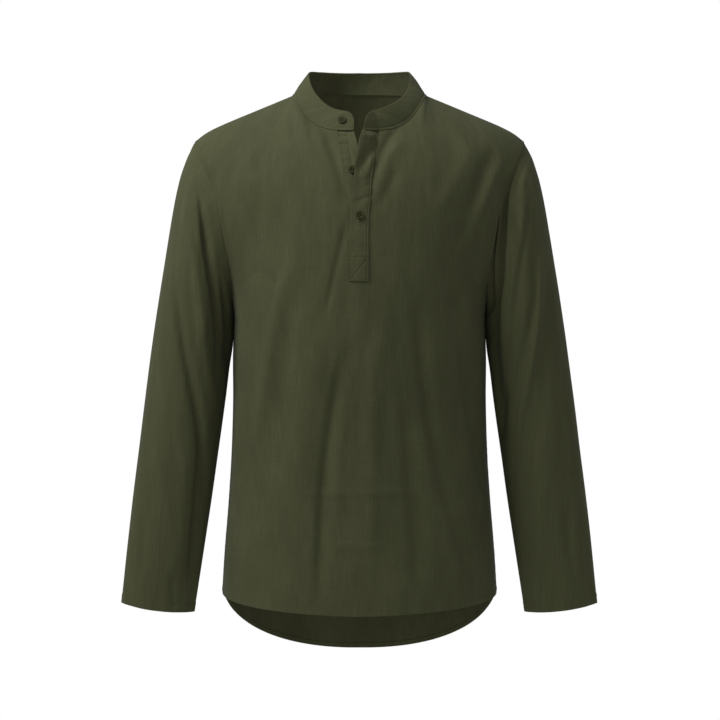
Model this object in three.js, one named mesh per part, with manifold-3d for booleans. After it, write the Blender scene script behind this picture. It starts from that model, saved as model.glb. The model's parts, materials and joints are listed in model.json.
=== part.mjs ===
// A long-sleeved henley shirt with a standing band collar and a three-button placket, filled out as worn.
// Sizes are in millimetres. x runs to the wearer's left, y to the back and z up. The origin lies midway
// between the two side neck points, where the wearer's shoulders carry the shirt.
// Each cut piece is a cloth wall: a grid of points on its outer face, and the same grid moved inwards.
import * as THREE from "three";
import { mergeVertices } from "three/addons/utils/BufferGeometryUtils.js";
import Module from "manifold-3d";

// Cloth
const CLOTH = 1.6; // wall of a single panel
const BAND_CLOTH = 2.2; // the band collar is two layers and a stiffener
const PLACKET_CLOTH = 1.8; // a placket strip is folded double
const SEAM = 0.3; // gap between two sewn pieces

// Body
const SIDE_SHAPE = 0.85; // power on the cosine that makes a body section fuller than an ellipse
const HEM = { side: -685.5, front: -709, back: -780, frontCurve: 1.6, backCurve: 2.2, backCorner: 1.35 };
const CHEST_ROW = { side: -297, middle: -330, curve: 3 }; // the row of points that runs through both armpits
const NECK = { half: 93, front: 80, back: 72, side: 7, frontDrop: 56, backRise: 6, curve: 3.9 };
const NECK_SHARE = 0.45; // share of a panel's width, at the top, that the neckline takes
const SHOULDER = { x: 230.5, z: -59, drop: 8.9, dropCurve: 11 }; // it falls away at the last, over the arm
const ARMHOLE = { front: 62, back: 60, bow: 2.2, round: 0.75 };
const CHEST_RISE = 3.3; // how long the front and back stay upright before they turn over the shoulder
const BLADES = 12; // fullness over the shoulder blades
const TURN = { neck: 0.9, shoulder: 0.5, fade: 0.45 }; // how evenly the cloth turns over, 0.5 being a dome
const NECK_EASE = 0.3; // how soon, below the top edge, the corner at the neck point is smoothed away

// The body's half width and depths to the front and back, at heights from the hem to the chest
const BODY_SECTIONS = [
  { z: -800, half: 196, front: 137, back: 124 },
  { z: -690, half: 191.3, front: 134, back: 121 },
  { z: -630, half: 187.8, front: 131, back: 117 },
  { z: -560, half: 182.2, front: 129, back: 112 },
  { z: -490, half: 178, front: 129, back: 109.3 },
  { z: -420, half: 176, front: 131.8, back: 111.8 },
  { z: -364, half: 176.3, front: 136, back: 116.6 },
  { z: -330, half: 175.5, front: 137, back: 118 },
  { z: -297, half: 174.6, front: 137, back: 118 },
];

// The armhole seam seen from the front: its way out from the armpit to the shoulder tip, by its way up
const ARMHOLE_REACH = [
  { up: 0, out: 0 },
  { up: 0.206, out: 0.054 },
  { up: 0.5, out: 0.27 },
  { up: 0.6, out: 0.34 },
  { up: 0.69, out: 0.425 },
  { up: 0.77, out: 0.555 },
  { up: 0.85, out: 0.735 },
  { up: 0.92, out: 0.88 },
  { up: 1, out: 1 },
];

// A sleeve's outer and inner edge seen from the front, its half depth, and how far it hangs forward
const SLEEVE_SECTIONS = [
  { outerX: 230.5, outerZ: -59, innerX: 174.6, innerZ: -297, depth: 61, forward: 0 },
  { outerX: 236.8, outerZ: -71, innerX: 175.2, innerZ: -299.5, depth: 63, forward: 0 },
  { outerX: 243.3, outerZ: -86, innerX: 175.5, innerZ: -303, depth: 64.5, forward: 0 },
  { outerX: 252.2, outerZ: -115, innerX: 175.8, innerZ: -309.5, depth: 65.5, forward: 0 },
  { outerX: 263, outerZ: -169, innerX: 176.2, innerZ: -322, depth: 64, forward: 1 },
  { outerX: 275.8, outerZ: -247, innerX: 177, innerZ: -345, depth: 61, forward: 2 },
  { outerX: 287.3, outerZ: -325, innerX: 182.3, innerZ: -376.5, depth: 56, forward: 4 },
  { outerX: 298, outerZ: -406, innerX: 188.2, innerZ: -425, depth: 51, forward: 7 },
  { outerX: 307.4, outerZ: -482, innerX: 198, innerZ: -497, depth: 46, forward: 10 },
  { outerX: 316.1, outerZ: -556, innerX: 208, innerZ: -569.5, depth: 40, forward: 13 },
  { outerX: 324.2, outerZ: -630, innerX: 218.8, innerZ: -642, depth: 34, forward: 16 },
  { outerX: 331.1, outerZ: -700.5, innerX: 229.8, innerZ: -713, depth: 28, forward: 18 },
];
const SLEEVE_CAP_END = 0.3; // share of the sleeve over which the armhole's own shape fades out
const SLEEVE_END_SAG = 3.5; // how far the sleeve's end hangs lower at its front and back than at its edges

// Largest folds: soft ridges (height over 0) and troughs (under 0) along a bowed line on the front or back
const BODY_FOLDS = [
  { side: "front", x0: -92, z0: -215, x1: -141, z1: -499, bow: 6, width: 12, height: 4.2 },
  { side: "front", x0: -69, z0: -231, x1: -117, z1: -486, bow: 6, width: 13, height: -2.4 },
  { side: "front", x0: -48, z0: -283, x1: -112, z1: -685, bow: 0, width: 20, height: 3.6 },
  { side: "front", x0: -13, z0: -322, x1: -52, z1: -714, bow: 15, width: 13, height: -5 },
  { side: "front", x0: 20, z0: -310, x1: 16, z1: -640, bow: 0, width: 13, height: 3.4 },
  { side: "front", x0: 57, z0: -385, x1: 84, z1: -700, bow: 0, width: 13, height: -4.4 },
  { side: "front", x0: 77, z0: -243, x1: 170, z1: -701, bow: 23, width: 13, height: -5 },
  { side: "front", x0: 95, z0: -300, x1: 150, z1: -640, bow: 12, width: 15, height: 3 },
  { side: "front", x0: 110, z0: -195, x1: 176, z1: -590, bow: -3, width: 13, height: -5 },
  { side: "front", x0: 189, z0: -61, x1: 125, z1: -216, bow: -3, width: 13, height: -5 },
  { side: "front", x0: 200, z0: -82, x1: 151, z1: -189, bow: 1, width: 13, height: 3.2 },
  { side: "front", x0: 152, z0: -62, x1: 104, z1: -170, bow: -3, width: 13, height: 2.6 },
  { side: "back", x0: -120, z0: -150, x1: -84, z1: -790, bow: 8, width: 28, height: 4 },
  { side: "back", x0: -52, z0: -330, x1: -40, z1: -800, bow: 0, width: 24, height: -5 },
  { side: "back", x0: 8, z0: -260, x1: 4, z1: -800, bow: 0, width: 26, height: 4 },
  { side: "back", x0: 60, z0: -360, x1: 50, z1: -800, bow: 0, width: 22, height: -4.5 },
  { side: "back", x0: 112, z0: -170, x1: 100, z1: -760, bow: -8, width: 26, height: 4 },
];

// Folds on a sleeve, each from one angle (degrees from the outer edge towards the front) and distance down
// it to another. A degree is about as long as a millimetre. The arm is 1 on the wearer's left, else -1.
const SLEEVE_LENGTH = 560; // along the middle of its front
const SLEEVE_FOLDS = [
  { arm: -1, angle0: 48, down0: 80, angle1: 140, down1: 330, bow: 22, width: 14, height: -6.5 },
  { arm: -1, angle0: 49, down0: 155, angle1: 114, down1: 294, bow: 10, width: 13, height: 2.6 },
  { arm: -1, angle0: 44, down0: 235, angle1: 138, down1: 425, bow: 3, width: 12, height: -4.6 },
  { arm: -1, angle0: 124, down0: 375, angle1: 140, down1: 540, bow: 0, width: 14, height: -3.6 },
  { arm: -1, angle0: 236, down0: 60, angle1: 262, down1: 330, bow: 6, width: 14, height: -4 },
  { arm: -1, angle0: 290, down0: 160, angle1: 284, down1: 520, bow: -5, width: 20, height: 3 },
  { arm: 1, angle0: 40, down0: 0, angle1: 152, down1: 290, bow: 24, width: 15, height: -7 },
  { arm: 1, angle0: 34, down0: 50, angle1: 98, down1: 240, bow: 4, width: 12, height: 2.2 },
  { arm: 1, angle0: 42, down0: 190, angle1: 138, down1: 415, bow: -7, width: 12, height: 3.6 },
  { arm: 1, angle0: 62, down0: 235, angle1: 140, down1: 385, bow: 0, width: 12, height: -3 },
  { arm: 1, angle0: 27, down0: 218, angle1: 82, down1: 379, bow: 6, width: 12, height: -2.2 },
  { arm: 1, angle0: 68, down0: 360, angle1: 130, down1: 520, bow: -7, width: 18, height: 2 },
  { arm: 1, angle0: 238, down0: 70, angle1: 270, down1: 360, bow: 6, width: 14, height: -4 },
  { arm: 1, angle0: 292, down0: 180, angle1: 280, down1: 520, bow: -5, width: 20, height: 3 },
];

// Band collar: its top edge leans in from the neckline, least in front on the wearer's left, and drops from
// the back to the front
const BAND = { topHalf: 71.3, topBack: 64, crown: 1.5 };
const BAND_FRONTS = { right: { top: 66, corner: 17 }, left: { top: 76, corner: 20 } };
const BAND_ENDS = { start: 4.3, end: 354.9 }; // angles of its two front ends
const BAND_TOP_HEIGHTS = [
  { angle: 0, right: -21.5, left: -21.5 },
  { angle: 18, right: -20, left: -20 },
  { angle: 35, right: -13.6, left: -12 },
  { angle: 52, right: 0.4, left: -1.6 },
  { angle: 68, right: 16.2, left: 12.5 },
  { angle: 82, right: 31.4, left: 29 },
  { angle: 95, right: 40, left: 39.5 },
  { angle: 120, right: 44, left: 44 },
  { angle: 180, right: 45.8, left: 45.8 },
];

// Placket: two strips in a slit that spreads towards the neck, the wearer's left strip over the right one.
// "lift" is how far the unbuttoned part of the upper strip stands off at its free edge.
const PLACKET = { slitEnd: -226, overlap: 1, clear: 0.5, bandGap: 0.055 };
const PLACKET_EDGES = [
  { z: -227, slitLeft: -14.4, slitRight: 12.7, upperLeft: -14.4, underRight: 12.2, lift: 0 },
  { z: -190, slitLeft: -14.7, slitRight: 12.7, upperLeft: -13.5, underRight: 11.9, lift: 0 },
  { z: -170, slitLeft: -16.1, slitRight: 13, upperLeft: -12.8, underRight: 10.5, lift: 0.2 },
  { z: -145, slitLeft: -18.5, slitRight: 15.4, upperLeft: -10.9, underRight: 8.3, lift: 1.3 },
  { z: -120, slitLeft: -21.2, slitRight: 17.2, upperLeft: -8.1, underRight: 5.5, lift: 3.4 },
  { z: -100, slitLeft: -23.5, slitRight: 19.4, upperLeft: -5.6, underRight: 2.5, lift: 5.4 },
  { z: -82, slitLeft: -26.1, slitRight: 21.8, upperLeft: -2.7, underRight: -0.8, lift: 7 },
  { z: -65, slitLeft: -28.3, slitRight: 25.3, upperLeft: 0.2, underRight: -3.8, lift: 8.3 },
  { z: -49, slitLeft: -30.3, slitRight: 26.6, upperLeft: 5, underRight: -8, lift: 9 },
];

// Buttons: four holes, a raised rim and a dished face
const BUTTON = { radius: 5.5, thick: 2.4, rim: 1.1, dish: 0.7, clear: 0.35, sides: 16 };
const BUTTON_HOLES = { radius: 0.8, at: 1.25, sides: 8 };
const COLLAR_BUTTON = { angle: -16.5, share: 0.5 };
const MIDDLE_BUTTON = { x: -9.5, z: -106 };
const LOWER_BUTTON = { x: 0.6, z: -170 };

// How finely the walls are drawn
const ROWS = { body: 13, yoke: 12 }; // hem to armpit, and armpit to shoulder
const COLUMNS = { slit: 2, neck: 5, shoulder: 8, bandTip: 5 };
const SLEEVE_ROWS = 21;

const HALF_TURN = Math.PI;
const QUARTER_TURN = Math.PI / 2;
const vec = (x, y, z) => new THREE.Vector3(x, y, z);
const { lerp, degToRad, clamp } = THREE.MathUtils;
const ease = (t) => THREE.MathUtils.smoothstep(t, 0, 1);
const steps = (from, to, count) => Array.from({ length: count + 1 }, (_, i) => lerp(from, to, i / count));

// Smooth curve through a table: the value in one column where another column has a given value.
function between(table, by, at, column) {
  const last = table.length - 1;
  const rising = table[last][by] > table[0][by];
  let i = table.findIndex((row) => (rising ? row[by] > at : row[by] < at));
  i = i < 0 ? last : Math.max(i, 1);
  const slope = (k) => {
    const a = table[Math.max(k - 1, 0)];
    const b = table[Math.min(k + 1, last)];
    return (b[column] - a[column]) / (b[by] - a[by]);
  };
  const [a, b] = [table[i - 1], table[i]];
  const span = b[by] - a[by];
  const t = clamp((at - a[by]) / span, 0, 1);
  const [t2, t3] = [t * t, t * t * t];
  return (
    (2 * t3 - 3 * t2 + 1) * a[column] +
    (t3 - 2 * t2 + t) * span * slope(i - 1) +
    (3 * t2 - 2 * t3) * b[column] +
    (t3 - t2) * span * slope(i)
  );
}

// Outward direction of a surface at (u, v), from two short steps that stay inside its limits.
function outward(surface, u, v, limits, facing = 1) {
  const d = 2e-3;
  const [u0, u1] = [Math.max(u - d, limits.u0), Math.min(u + d, limits.u1)];
  const [v0, v1] = [Math.max(v - d, limits.v0), Math.min(v + d, limits.v1)];
  const alongU = surface(u1, v).sub(surface(u0, v));
  const alongV = surface(u, v1).sub(surface(u, v0));
  return alongU.cross(alongV).normalize().multiplyScalar(facing);
}

// A bump along a line from (a0, b0) to (a1, b1), bowed to one side in the middle: full height on the line,
// fading to its sides and its ends.
function ridge(a, b, a0, b0, a1, b1, bow, width) {
  const [da, db] = [a1 - a0, b1 - b0];
  const length = Math.hypot(da, db);
  const along = ((a - a0) * da + (b - b0) * db) / length ** 2;
  const side = ((a - a0) * db - (b - b0) * da) / length;
  const off = (side - bow * 4 * along * (1 - along)) / width;
  const fade = ease(clamp(along / 0.3, 0, 1)) * ease(clamp((1 - along) / 0.3, 0, 1));
  return Math.exp(-off * off) * fade;
}

// BODY. "across" runs from -1 at one side seam or armhole to 1 at the other. "row" runs from 0 at the hem,
// by 1 at the level of the armpits, to 2 at the shoulder seams and the neckline.

// Section of the body: x goes with the sine of the angle, y with a power of its cosine.
function bodySection(side, across, z) {
  const angle = across * QUARTER_TURN;
  const reach = between(BODY_SECTIONS, "z", z, side) * Math.cos(angle) ** SIDE_SHAPE;
  const half = between(BODY_SECTIONS, "z", z, "half");
  return vec(half * Math.sin(angle), side === "front" ? -reach : reach, z);
}

// Neckline, by its angle from the centre front round the wearer's left side to the back.
function necklinePoint(degrees) {
  const angle = degToRad(degrees);
  const [s, c] = [Math.sin(angle), Math.cos(angle)];
  if (c > 0) {
    const z = NECK.side - NECK.frontDrop * (1 - Math.abs(s) ** NECK.curve);
    return vec(NECK.half * s, -NECK.front * c, z);
  }
  return vec(NECK.half * s, -NECK.back * c, NECK.side + NECK.backRise * c * c);
}

// Top edge of the front or back: the neckline in the middle and a straight shoulder seam on each side.
function topEdge(side, across) {
  const share = Math.abs(across);
  if (share <= NECK_SHARE) {
    const angle = (across / NECK_SHARE) * 90;
    return necklinePoint(side === "front" ? angle : 180 - angle);
  }
  const along = (share - NECK_SHARE) / (1 - NECK_SHARE);
  const z = lerp(NECK.side, SHOULDER.z + SHOULDER.drop, along) - SHOULDER.drop * along ** SHOULDER.dropCurve;
  return vec(Math.sign(across) * lerp(NECK.half, SHOULDER.x, along), 0, z);
}

// The top edge as lower rows follow it: averaged over some way to both sides, so that its corners fade.
function softTopEdge(side, across, h) {
  const reach = Math.min(NECK_EASE * (1 - h) ** 0.6, 1 - Math.abs(across));
  const samples = steps(-reach, reach, 8).map((shift) => topEdge(side, across + shift));
  return samples.reduce((sum, p) => sum.add(p), vec(0, 0, 0)).divideScalar(samples.length);
}

// Height of a yoke row as a share of the way from the armpit row to the top, close together at both ends.
const yokeShare = (row) => (1 - Math.cos((row - 1) * HALF_TURN)) / 2;

// How far the armhole bows out to the front or back, and how far it has reached the shoulder tip, as shares.
const armholeBow = (h) => (1 - Math.abs(2 * h - 1) ** ARMHOLE.bow) ** ARMHOLE.round;
const armholeReach = (h) => between(ARMHOLE_REACH, "up", h, "out");

function hemHeight(side, share) {
  if (side === "front") return lerp(HEM.front, HEM.side, share ** HEM.frontCurve);
  return lerp(HEM.side, HEM.back, (1 - share ** HEM.backCurve) ** HEM.backCorner);
}

function plainPanel(side, across, row) {
  const hem = hemHeight(side, Math.abs(across));
  const chest = lerp(CHEST_ROW.middle, CHEST_ROW.side, Math.abs(across) ** CHEST_ROW.curve);
  if (row <= 1) return bodySection(side, across, lerp(hem, chest, row));
  const h = yokeShare(row);
  const low = bodySection(side, across, chest);
  const top = softTopEdge(side, across, h);
  const facing = side === "front" ? -1 : 1;
  // The chest stays upright and then turns over: gently to the neckline, fully over the shoulder seam.
  const toNeck = ease(clamp(Math.abs(across) / NECK_SHARE, 0, 1));
  const pastNeck = ease(clamp((Math.abs(across) - NECK_SHARE) / TURN.fade, 0, 1));
  const turn = lerp(lerp(1, TURN.neck, toNeck), TURN.shoulder, pastNeck);
  const upright = (1 - h ** CHEST_RISE) ** turn;
  const roundness = Math.cos(across * QUARTER_TURN) ** SIDE_SHAPE;
  // Towards the armhole the cloth is carried out over the front or back of the arm.
  const nearArm = (1 - roundness) * Math.abs(across) ** (10 * (1 - h) ** 3);
  let y = lerp(top.y, low.y, upright) + facing * ARMHOLE[side] * armholeBow(h) * nearArm;
  if (side === "back") y += BLADES * Math.sin(h * HALF_TURN) ** 2 * roundness;
  return vec(lerp(low.x, top.x, armholeReach(h)), y, lerp(low.z, top.z, h));
}

function bodyFold(side, across, row) {
  const at = plainPanel(side, across, row);
  const fade = (1 - Math.abs(across) ** 10) * ease(clamp((2 - row) / 0.35, 0, 1));
  return BODY_FOLDS.filter((f) => f.side === side).reduce(
    (sum, f) => sum + fade * f.height * ridge(at.x, at.z, f.x0, f.z0, f.x1, f.z1, f.bow, f.width),
    0,
  );
}

const PANEL_LIMITS = { u0: -1, u1: 1, v0: 0, v1: 2 };
const facingOf = (side) => (side === "front" ? 1 : -1);

function panel(side, across, row) {
  const plain = (u, v) => plainPanel(side, u, v);
  const out = outward(plain, across, row, PANEL_LIMITS, facingOf(side));
  return plain(across, row).addScaledVector(out, bodyFold(side, across, row));
}

const panelOut = (side, across, row) =>
  outward((u, v) => panel(side, u, v), across, row, PANEL_LIMITS, facingOf(side));

// SLEEVES. "angle" runs in degrees from the outer edge to the front, and "share" from 0 at the armhole to 1
// at the sleeve's end.

function plainSleeve(angle, share) {
  const at = share * (SLEEVE_SECTIONS.length - 1);
  const table = SLEEVE_SECTIONS.map((section, index) => ({ ...section, index }));
  const get = (column) => between(table, "index", at, column);
  const turn = degToRad(angle);
  const h = (1 + Math.cos(turn)) / 2;
  const facing = -Math.sin(turn);
  const cap = 1 - ease(clamp(share / SLEEVE_CAP_END, 0, 1));
  // The first ring is the armhole itself, and the next ones turn into plain ovals.
  const armDepth = facing < 0 ? ARMHOLE.front : ARMHOLE.back;
  const y = lerp(get("depth") * facing, Math.sign(facing) * armDepth * armholeBow(h), cap) - get("forward");
  const reach = lerp(h, armholeReach(h), cap);
  const z = lerp(get("innerZ"), get("outerZ"), h) - SLEEVE_END_SAG * facing * facing * share ** 8;
  return vec(lerp(get("innerX"), get("outerX"), reach), y, z);
}

function sleeveFold(arm, angle, share) {
  const fade = ease(clamp(share / 0.06, 0, 1));
  const down = share * SLEEVE_LENGTH;
  return SLEEVE_FOLDS.filter((f) => f.arm === arm).reduce(
    (sum, f) =>
      sum + fade * f.height * ridge(angle, down, f.angle0, f.down0, f.angle1, f.down1, f.bow, f.width),
    0,
  );
}

const SLEEVE_LIMITS = { u0: -1e9, u1: 1e9, v0: 0, v1: 1 };
const perDegree = (surface) => (u, v) => surface(u * 90, v); // a step in u that is about as long as one in v

function sleeve(arm, angle, share) {
  const out = outward(perDegree(plainSleeve), angle / 90, share, SLEEVE_LIMITS);
  return plainSleeve(angle, share).addScaledVector(out, sleeveFold(arm, angle, share));
}

const sleeveOut = (arm, angle, share) =>
  outward(perDegree((a, s) => sleeve(arm, a, s)), angle / 90, share, SLEEVE_LIMITS);

// Where the body and a sleeve meet, both walls end along one direction, so that their edges lie side by side.
function armholeOut(side, h) {
  const row = 1 + Math.acos(1 - 2 * h) / HALF_TURN;
  const turn = THREE.MathUtils.radToDeg(Math.acos(clamp(2 * h - 1, -1, 1)));
  const body = panelOut(side, 1, row);
  const arm = sleeveOut(1, side === "front" ? turn : -turn, 0);
  return { body, arm, both: body.clone().add(arm).normalize(), convex: body.dot(arm) > 0.3 };
}

// PLACKET AND BAND

const stripEdge = (z, column) => between(PLACKET_EDGES, "z", z, column);

// The share across the front at which x has a given value on a row.
function acrossAt(x, row) {
  let [low, high] = [-1, 1];
  for (let i = 0; i < 22; i++) {
    const middle = (low + high) / 2;
    if (plainPanel("front", middle, row).x < x) low = middle;
    else high = middle;
  }
  return (low + high) / 2;
}

const middleHeight = (row) => plainPanel("front", 0, row).z;
const slitAcross = (row, column) => acrossAt(stripEdge(middleHeight(row), column), row);
const TOP_SLIT = { left: -slitAcross(2, "slitLeft"), right: slitAcross(2, "slitRight") };

// The row of the front's middle line that lies at a height above the armpit row.
const rowAt = (z) =>
  1 + Math.acos(1 - (2 * (z - CHEST_ROW.middle)) / (necklinePoint(0).z - CHEST_ROW.middle)) / HALF_TURN;

// The unbuttoned end of the upper strip, and the collar over it, stand off most at the free edge.
function flapLift(x, z) {
  const [free, sewn] = [stripEdge(z, "upperLeft"), stripEdge(z, "slitRight")];
  return stripEdge(z, "lift") * clamp((sewn - x) / (sewn - free), 0, 1.2);
}

// A point on the front at a given x and row, moved out by a distance.
function overFront(x, row, distance) {
  const across = acrossAt(x, row);
  return panel("front", across, row).addScaledVector(panelOut("front", across, row), distance);
}

function bandEdge(degrees, top) {
  const low = necklinePoint(degrees);
  if (!top) return low;
  const turn = degToRad(degrees);
  const [s, c] = [Math.sin(turn), Math.cos(turn)];
  const fromFront = Math.abs(((degrees + 180) % 360) - 180);
  const side = s < 0 ? "right" : "left";
  const y = -(c > 0 ? BAND_FRONTS[side].top : BAND.topBack) * c;
  return vec(BAND.topHalf * s, y, between(BAND_TOP_HEIGHTS, "angle", fromFront, side));
}

// The band between its two edges, with a slight crown, rounded corners at both ends and the lifted left end.
function plainBand(degrees, share) {
  const [low, top] = [bandEdge(degrees, false), bandEdge(degrees, true)];
  const endX = (angle) => Math.abs(necklinePoint(angle).x);
  const isFront = Math.cos(degToRad(degrees)) > 0;
  const { corner } = BAND_FRONTS[low.x < 0 ? "right" : "left"];
  const toEnd = isFront ? Math.abs(low.x) - endX(low.x > 0 ? BAND_ENDS.start : BAND_ENDS.end) : corner;
  const inset = corner - clamp(toEnd, 0, corner);
  const cut = corner - Math.sqrt(corner ** 2 - inset ** 2);
  const v = share * (1 - cut / low.distanceTo(top));
  const point = low.clone().lerp(top, v);
  const away = vec(Math.sin(degToRad(degrees)), -Math.cos(degToRad(degrees)), 0);
  const lift = isFront && low.x > 0 ? flapLift(low.x, necklinePoint(0).z) : 0;
  return point.addScaledVector(away, BAND.crown * Math.sin(v * HALF_TURN) + lift);
}

const BAND_LIMITS = { u0: BAND_ENDS.start / 90, u1: BAND_ENDS.end / 90, v0: 0, v1: 1 };
const bandOut = (degrees, share) => outward(perDegree(plainBand), degrees / 90, share, BAND_LIMITS);

// WALLS

// Builds a closed wall from a grid of { out, in } points. "keep" leaves cells out, and "ring" joins the last
// column to the first. Cells run counterclockwise seen from outside, or clockwise where "mirrored" is set.
function clothWall(grid, { keep = () => true, ring = false, mirrored = false } = {}) {
  const [rows, columns] = [grid.length, grid[0].length];
  const positions = ["out", "in"].flatMap((face) => grid.flat().flatMap((point) => point[face].toArray()));
  const at = (i, j, inner) => (i % columns) + j * columns + (inner ? rows * columns : 0);
  const cells = ring ? columns : columns - 1;
  const used = (i, j) => {
    const k = ring ? (i + cells) % cells : i;
    return j >= 0 && j < rows - 1 && k >= 0 && k < cells && keep(k, j);
  };
  const index = [];
  const quad = (a, b, c, d) => index.push(...(mirrored ? [a, c, b, a, d, c] : [a, b, c, a, c, d]));
  for (let j = 0; j < rows - 1; j++) {
    for (let i = 0; i < cells; i++) {
      if (!used(i, j)) continue;
      const corners = [[i, j], [i + 1, j], [i + 1, j + 1], [i, j + 1]];
      const neighbours = [[i, j - 1], [i + 1, j], [i, j + 1], [i - 1, j]];
      quad(...corners.map(([a, b]) => at(a, b, false)));
      quad(...corners.map(([a, b]) => at(a, b, true)).reverse());
      neighbours.forEach(([a, b], k) => {
        if (used(a, b)) return;
        const [p, q] = [corners[k], corners[(k + 1) % 4]];
        quad(at(...q, false), at(...p, false), at(...p, true), at(...q, true));
      });
    }
  }
  const wall = new THREE.BufferGeometry();
  wall.setAttribute("position", new THREE.Float32BufferAttribute(positions, 3));
  wall.setIndex(index);
  return tidied(wall);
}

// Drops the points that no face uses and the normals, so that a wall is one closed body.
function tidied(geometry) {
  const loose = geometry.toNonIndexed();
  loose.deleteAttribute("normal");
  loose.deleteAttribute("uv");
  const merged = mergeVertices(loose, 1e-4);
  merged.computeVertexNormals();
  return merged;
}

// One point of a wall: the outer point, and the inner one a cloth's thickness behind it.
const layer = (outer, direction, thickness) => ({
  out: outer,
  in: outer.clone().addScaledVector(direction, -thickness),
});

const ROW_LIST = [...steps(0, 1, ROWS.body), ...steps(1, 2, ROWS.yoke).slice(1)];
const SLIT_ROW = ROW_LIST.findIndex((row) => row > 1 && middleHeight(row) > PLACKET.slitEnd - 5);

// Columns of one half, from the centre or the slit to the armhole, by their share across the top edge.
const closerOutwards = (t) => 1 - (1 - t) ** 1.25;
const shoulderSteps = steps(0, 1, COLUMNS.shoulder).slice(1);
const shoulderColumns = shoulderSteps.map((t) => lerp(NECK_SHARE, 1, closerOutwards(t)));
const frontColumns = (side) => [...steps(TOP_SLIT[side], NECK_SHARE, COLUMNS.neck), ...shoulderColumns];
const backColumns = [...steps(0, NECK_SHARE, COLUMNS.neck + 1), ...shoulderColumns];

// Each panel stops half a seam short of the shoulder and side seams, and of the neckline.
function frontPanel() {
  const grid = ROW_LIST.map((row) => {
    const [left, right] = [-slitAcross(row, "slitLeft"), slitAcross(row, "slitRight")];
    const spread = (side, slit) =>
      frontColumns(side).map((share) => THREE.MathUtils.mapLinear(share, TOP_SLIT[side], 1, slit, 1));
    const middle = steps(-left, right, 2 * COLUMNS.slit).slice(1, -1);
    const all = [...spread("left", left).map((a) => -a).reverse(), ...middle, ...spread("right", right)];
    return all.map((across) => panelLayer("front", across, row));
  });
  const first = COLUMNS.neck + COLUMNS.shoulder;
  const inSlit = (i, j) => i >= first && i < first + 2 * COLUMNS.slit && j >= SLIT_ROW;
  return clothWall(grid, { keep: (i, j) => !inSlit(i, j) });
}

function backPanel() {
  const half = [...backColumns.map((a) => -a).reverse(), ...backColumns.slice(1)];
  const grid = ROW_LIST.map((row) => half.map((across) => panelLayer("back", across, row)));
  return clothWall(grid, { mirrored: true });
}

function panelLayer(side, across, row) {
  const outer = panel(side, across, row);
  const atEdge = Math.abs(across) > 1 - 1e-6;
  let direction = panelOut(side, across, row);
  if (atEdge && row > 1) {
    const seam = armholeOut(side, yokeShare(row));
    if (seam.convex) direction = seam.both.multiply(vec(Math.sign(across), 1, 1));
  }
  // Half a seam of room to the other panel, whose wall ends along the same direction on the shoulder
  if (row === 2 && Math.abs(across) >= NECK_SHARE - 1e-6) {
    outer.y += facingOf(side) * -SEAM / 2;
    if (!atEdge) direction = vec(direction.x, 0, direction.z).normalize();
  }
  if (atEdge && row <= 1) outer.y += facingOf(side) * -SEAM / 2;
  return layer(outer, direction, CLOTH);
}

function sleeveTube(arm) {
  const turns = steps(0, 360, 2 * ROWS.yoke).slice(0, -1);
  const shares = steps(0, 1, SLEEVE_ROWS).map((s) => s ** 1.15);
  const flip = vec(arm, 1, 1);
  const grid = shares.map((share, j) =>
    turns.map((angle) => {
      const outer = sleeve(arm, angle, share);
      let direction = sleeveOut(arm, angle, share);
      if (j === 0) {
        const h = (1 + Math.cos(degToRad(angle))) / 2;
        const seam = armholeOut(angle <= 180 ? "front" : "back", h);
        if (seam.convex) direction = seam.both;
        const onward = sleeve(arm, angle, shares[1]).sub(outer).normalize();
        outer.addScaledVector(onward, 2 * SEAM);
      }
      return layer(outer.multiply(flip), direction.multiply(flip), CLOTH);
    }),
  );
  return clothWall(grid, { ring: true, mirrored: arm < 0 });
}

function collarBand() {
  const toAngle = (share) => (share / NECK_SHARE) * 90;
  const onNeck = (columns) => columns.filter((share) => share <= NECK_SHARE + 1e-9).map(toAngle);
  const tip = (end, to) => steps(0, 1, COLUMNS.bandTip).slice(0, -1).map((t) => lerp(end, to, t ** 1.6));
  const [left, right] = [onNeck(frontColumns("left")), onNeck(frontColumns("right"))];
  const back = onNeck(backColumns).slice(0, -1).map((a) => 180 - a);
  const angles = [
    ...tip(BAND_ENDS.start, right[0]),
    ...right,
    ...back.reverse(),
    ...back.slice(0, -1).map((a) => 360 - a).reverse(),
    ...left.map((a) => 360 - a).reverse(),
    ...tip(360 - BAND_ENDS.end, left[0]).map((a) => 360 - a).reverse(),
  ];
  const grid = steps(0, 1, 3).map((share, j) =>
    angles.map((degrees) => {
      const outer = plainBand(degrees, share);
      if (j === 0) outer.addScaledVector(plainBand(degrees, 0.1).sub(outer).normalize(), SEAM);
      return layer(outer, bandOut(degrees, share), BAND_CLOTH);
    }),
  );
  return clothWall(grid);
}

// Rows of a placket strip from a given one up, the last of them just short of the band.
const stripRows = (first) => [...ROW_LIST.slice(first, -1), 2 - PLACKET.bandGap];

// The under strip fills the slit from its right edge, and ends under the upper one.
function underPlacket() {
  const grid = stripRows(SLIT_ROW).map((row, j) => {
    const z = middleHeight(row);
    return steps(stripEdge(z, "slitLeft") + SEAM, stripEdge(z, "underRight"), 4).map((x) => {
      const outer = overFront(x, row, 0);
      if (j === 0) outer.z += SEAM;
      return layer(outer, panelOut("front", acrossAt(x, row), row), PLACKET_CLOTH);
    });
  });
  return clothWall(grid);
}

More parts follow.
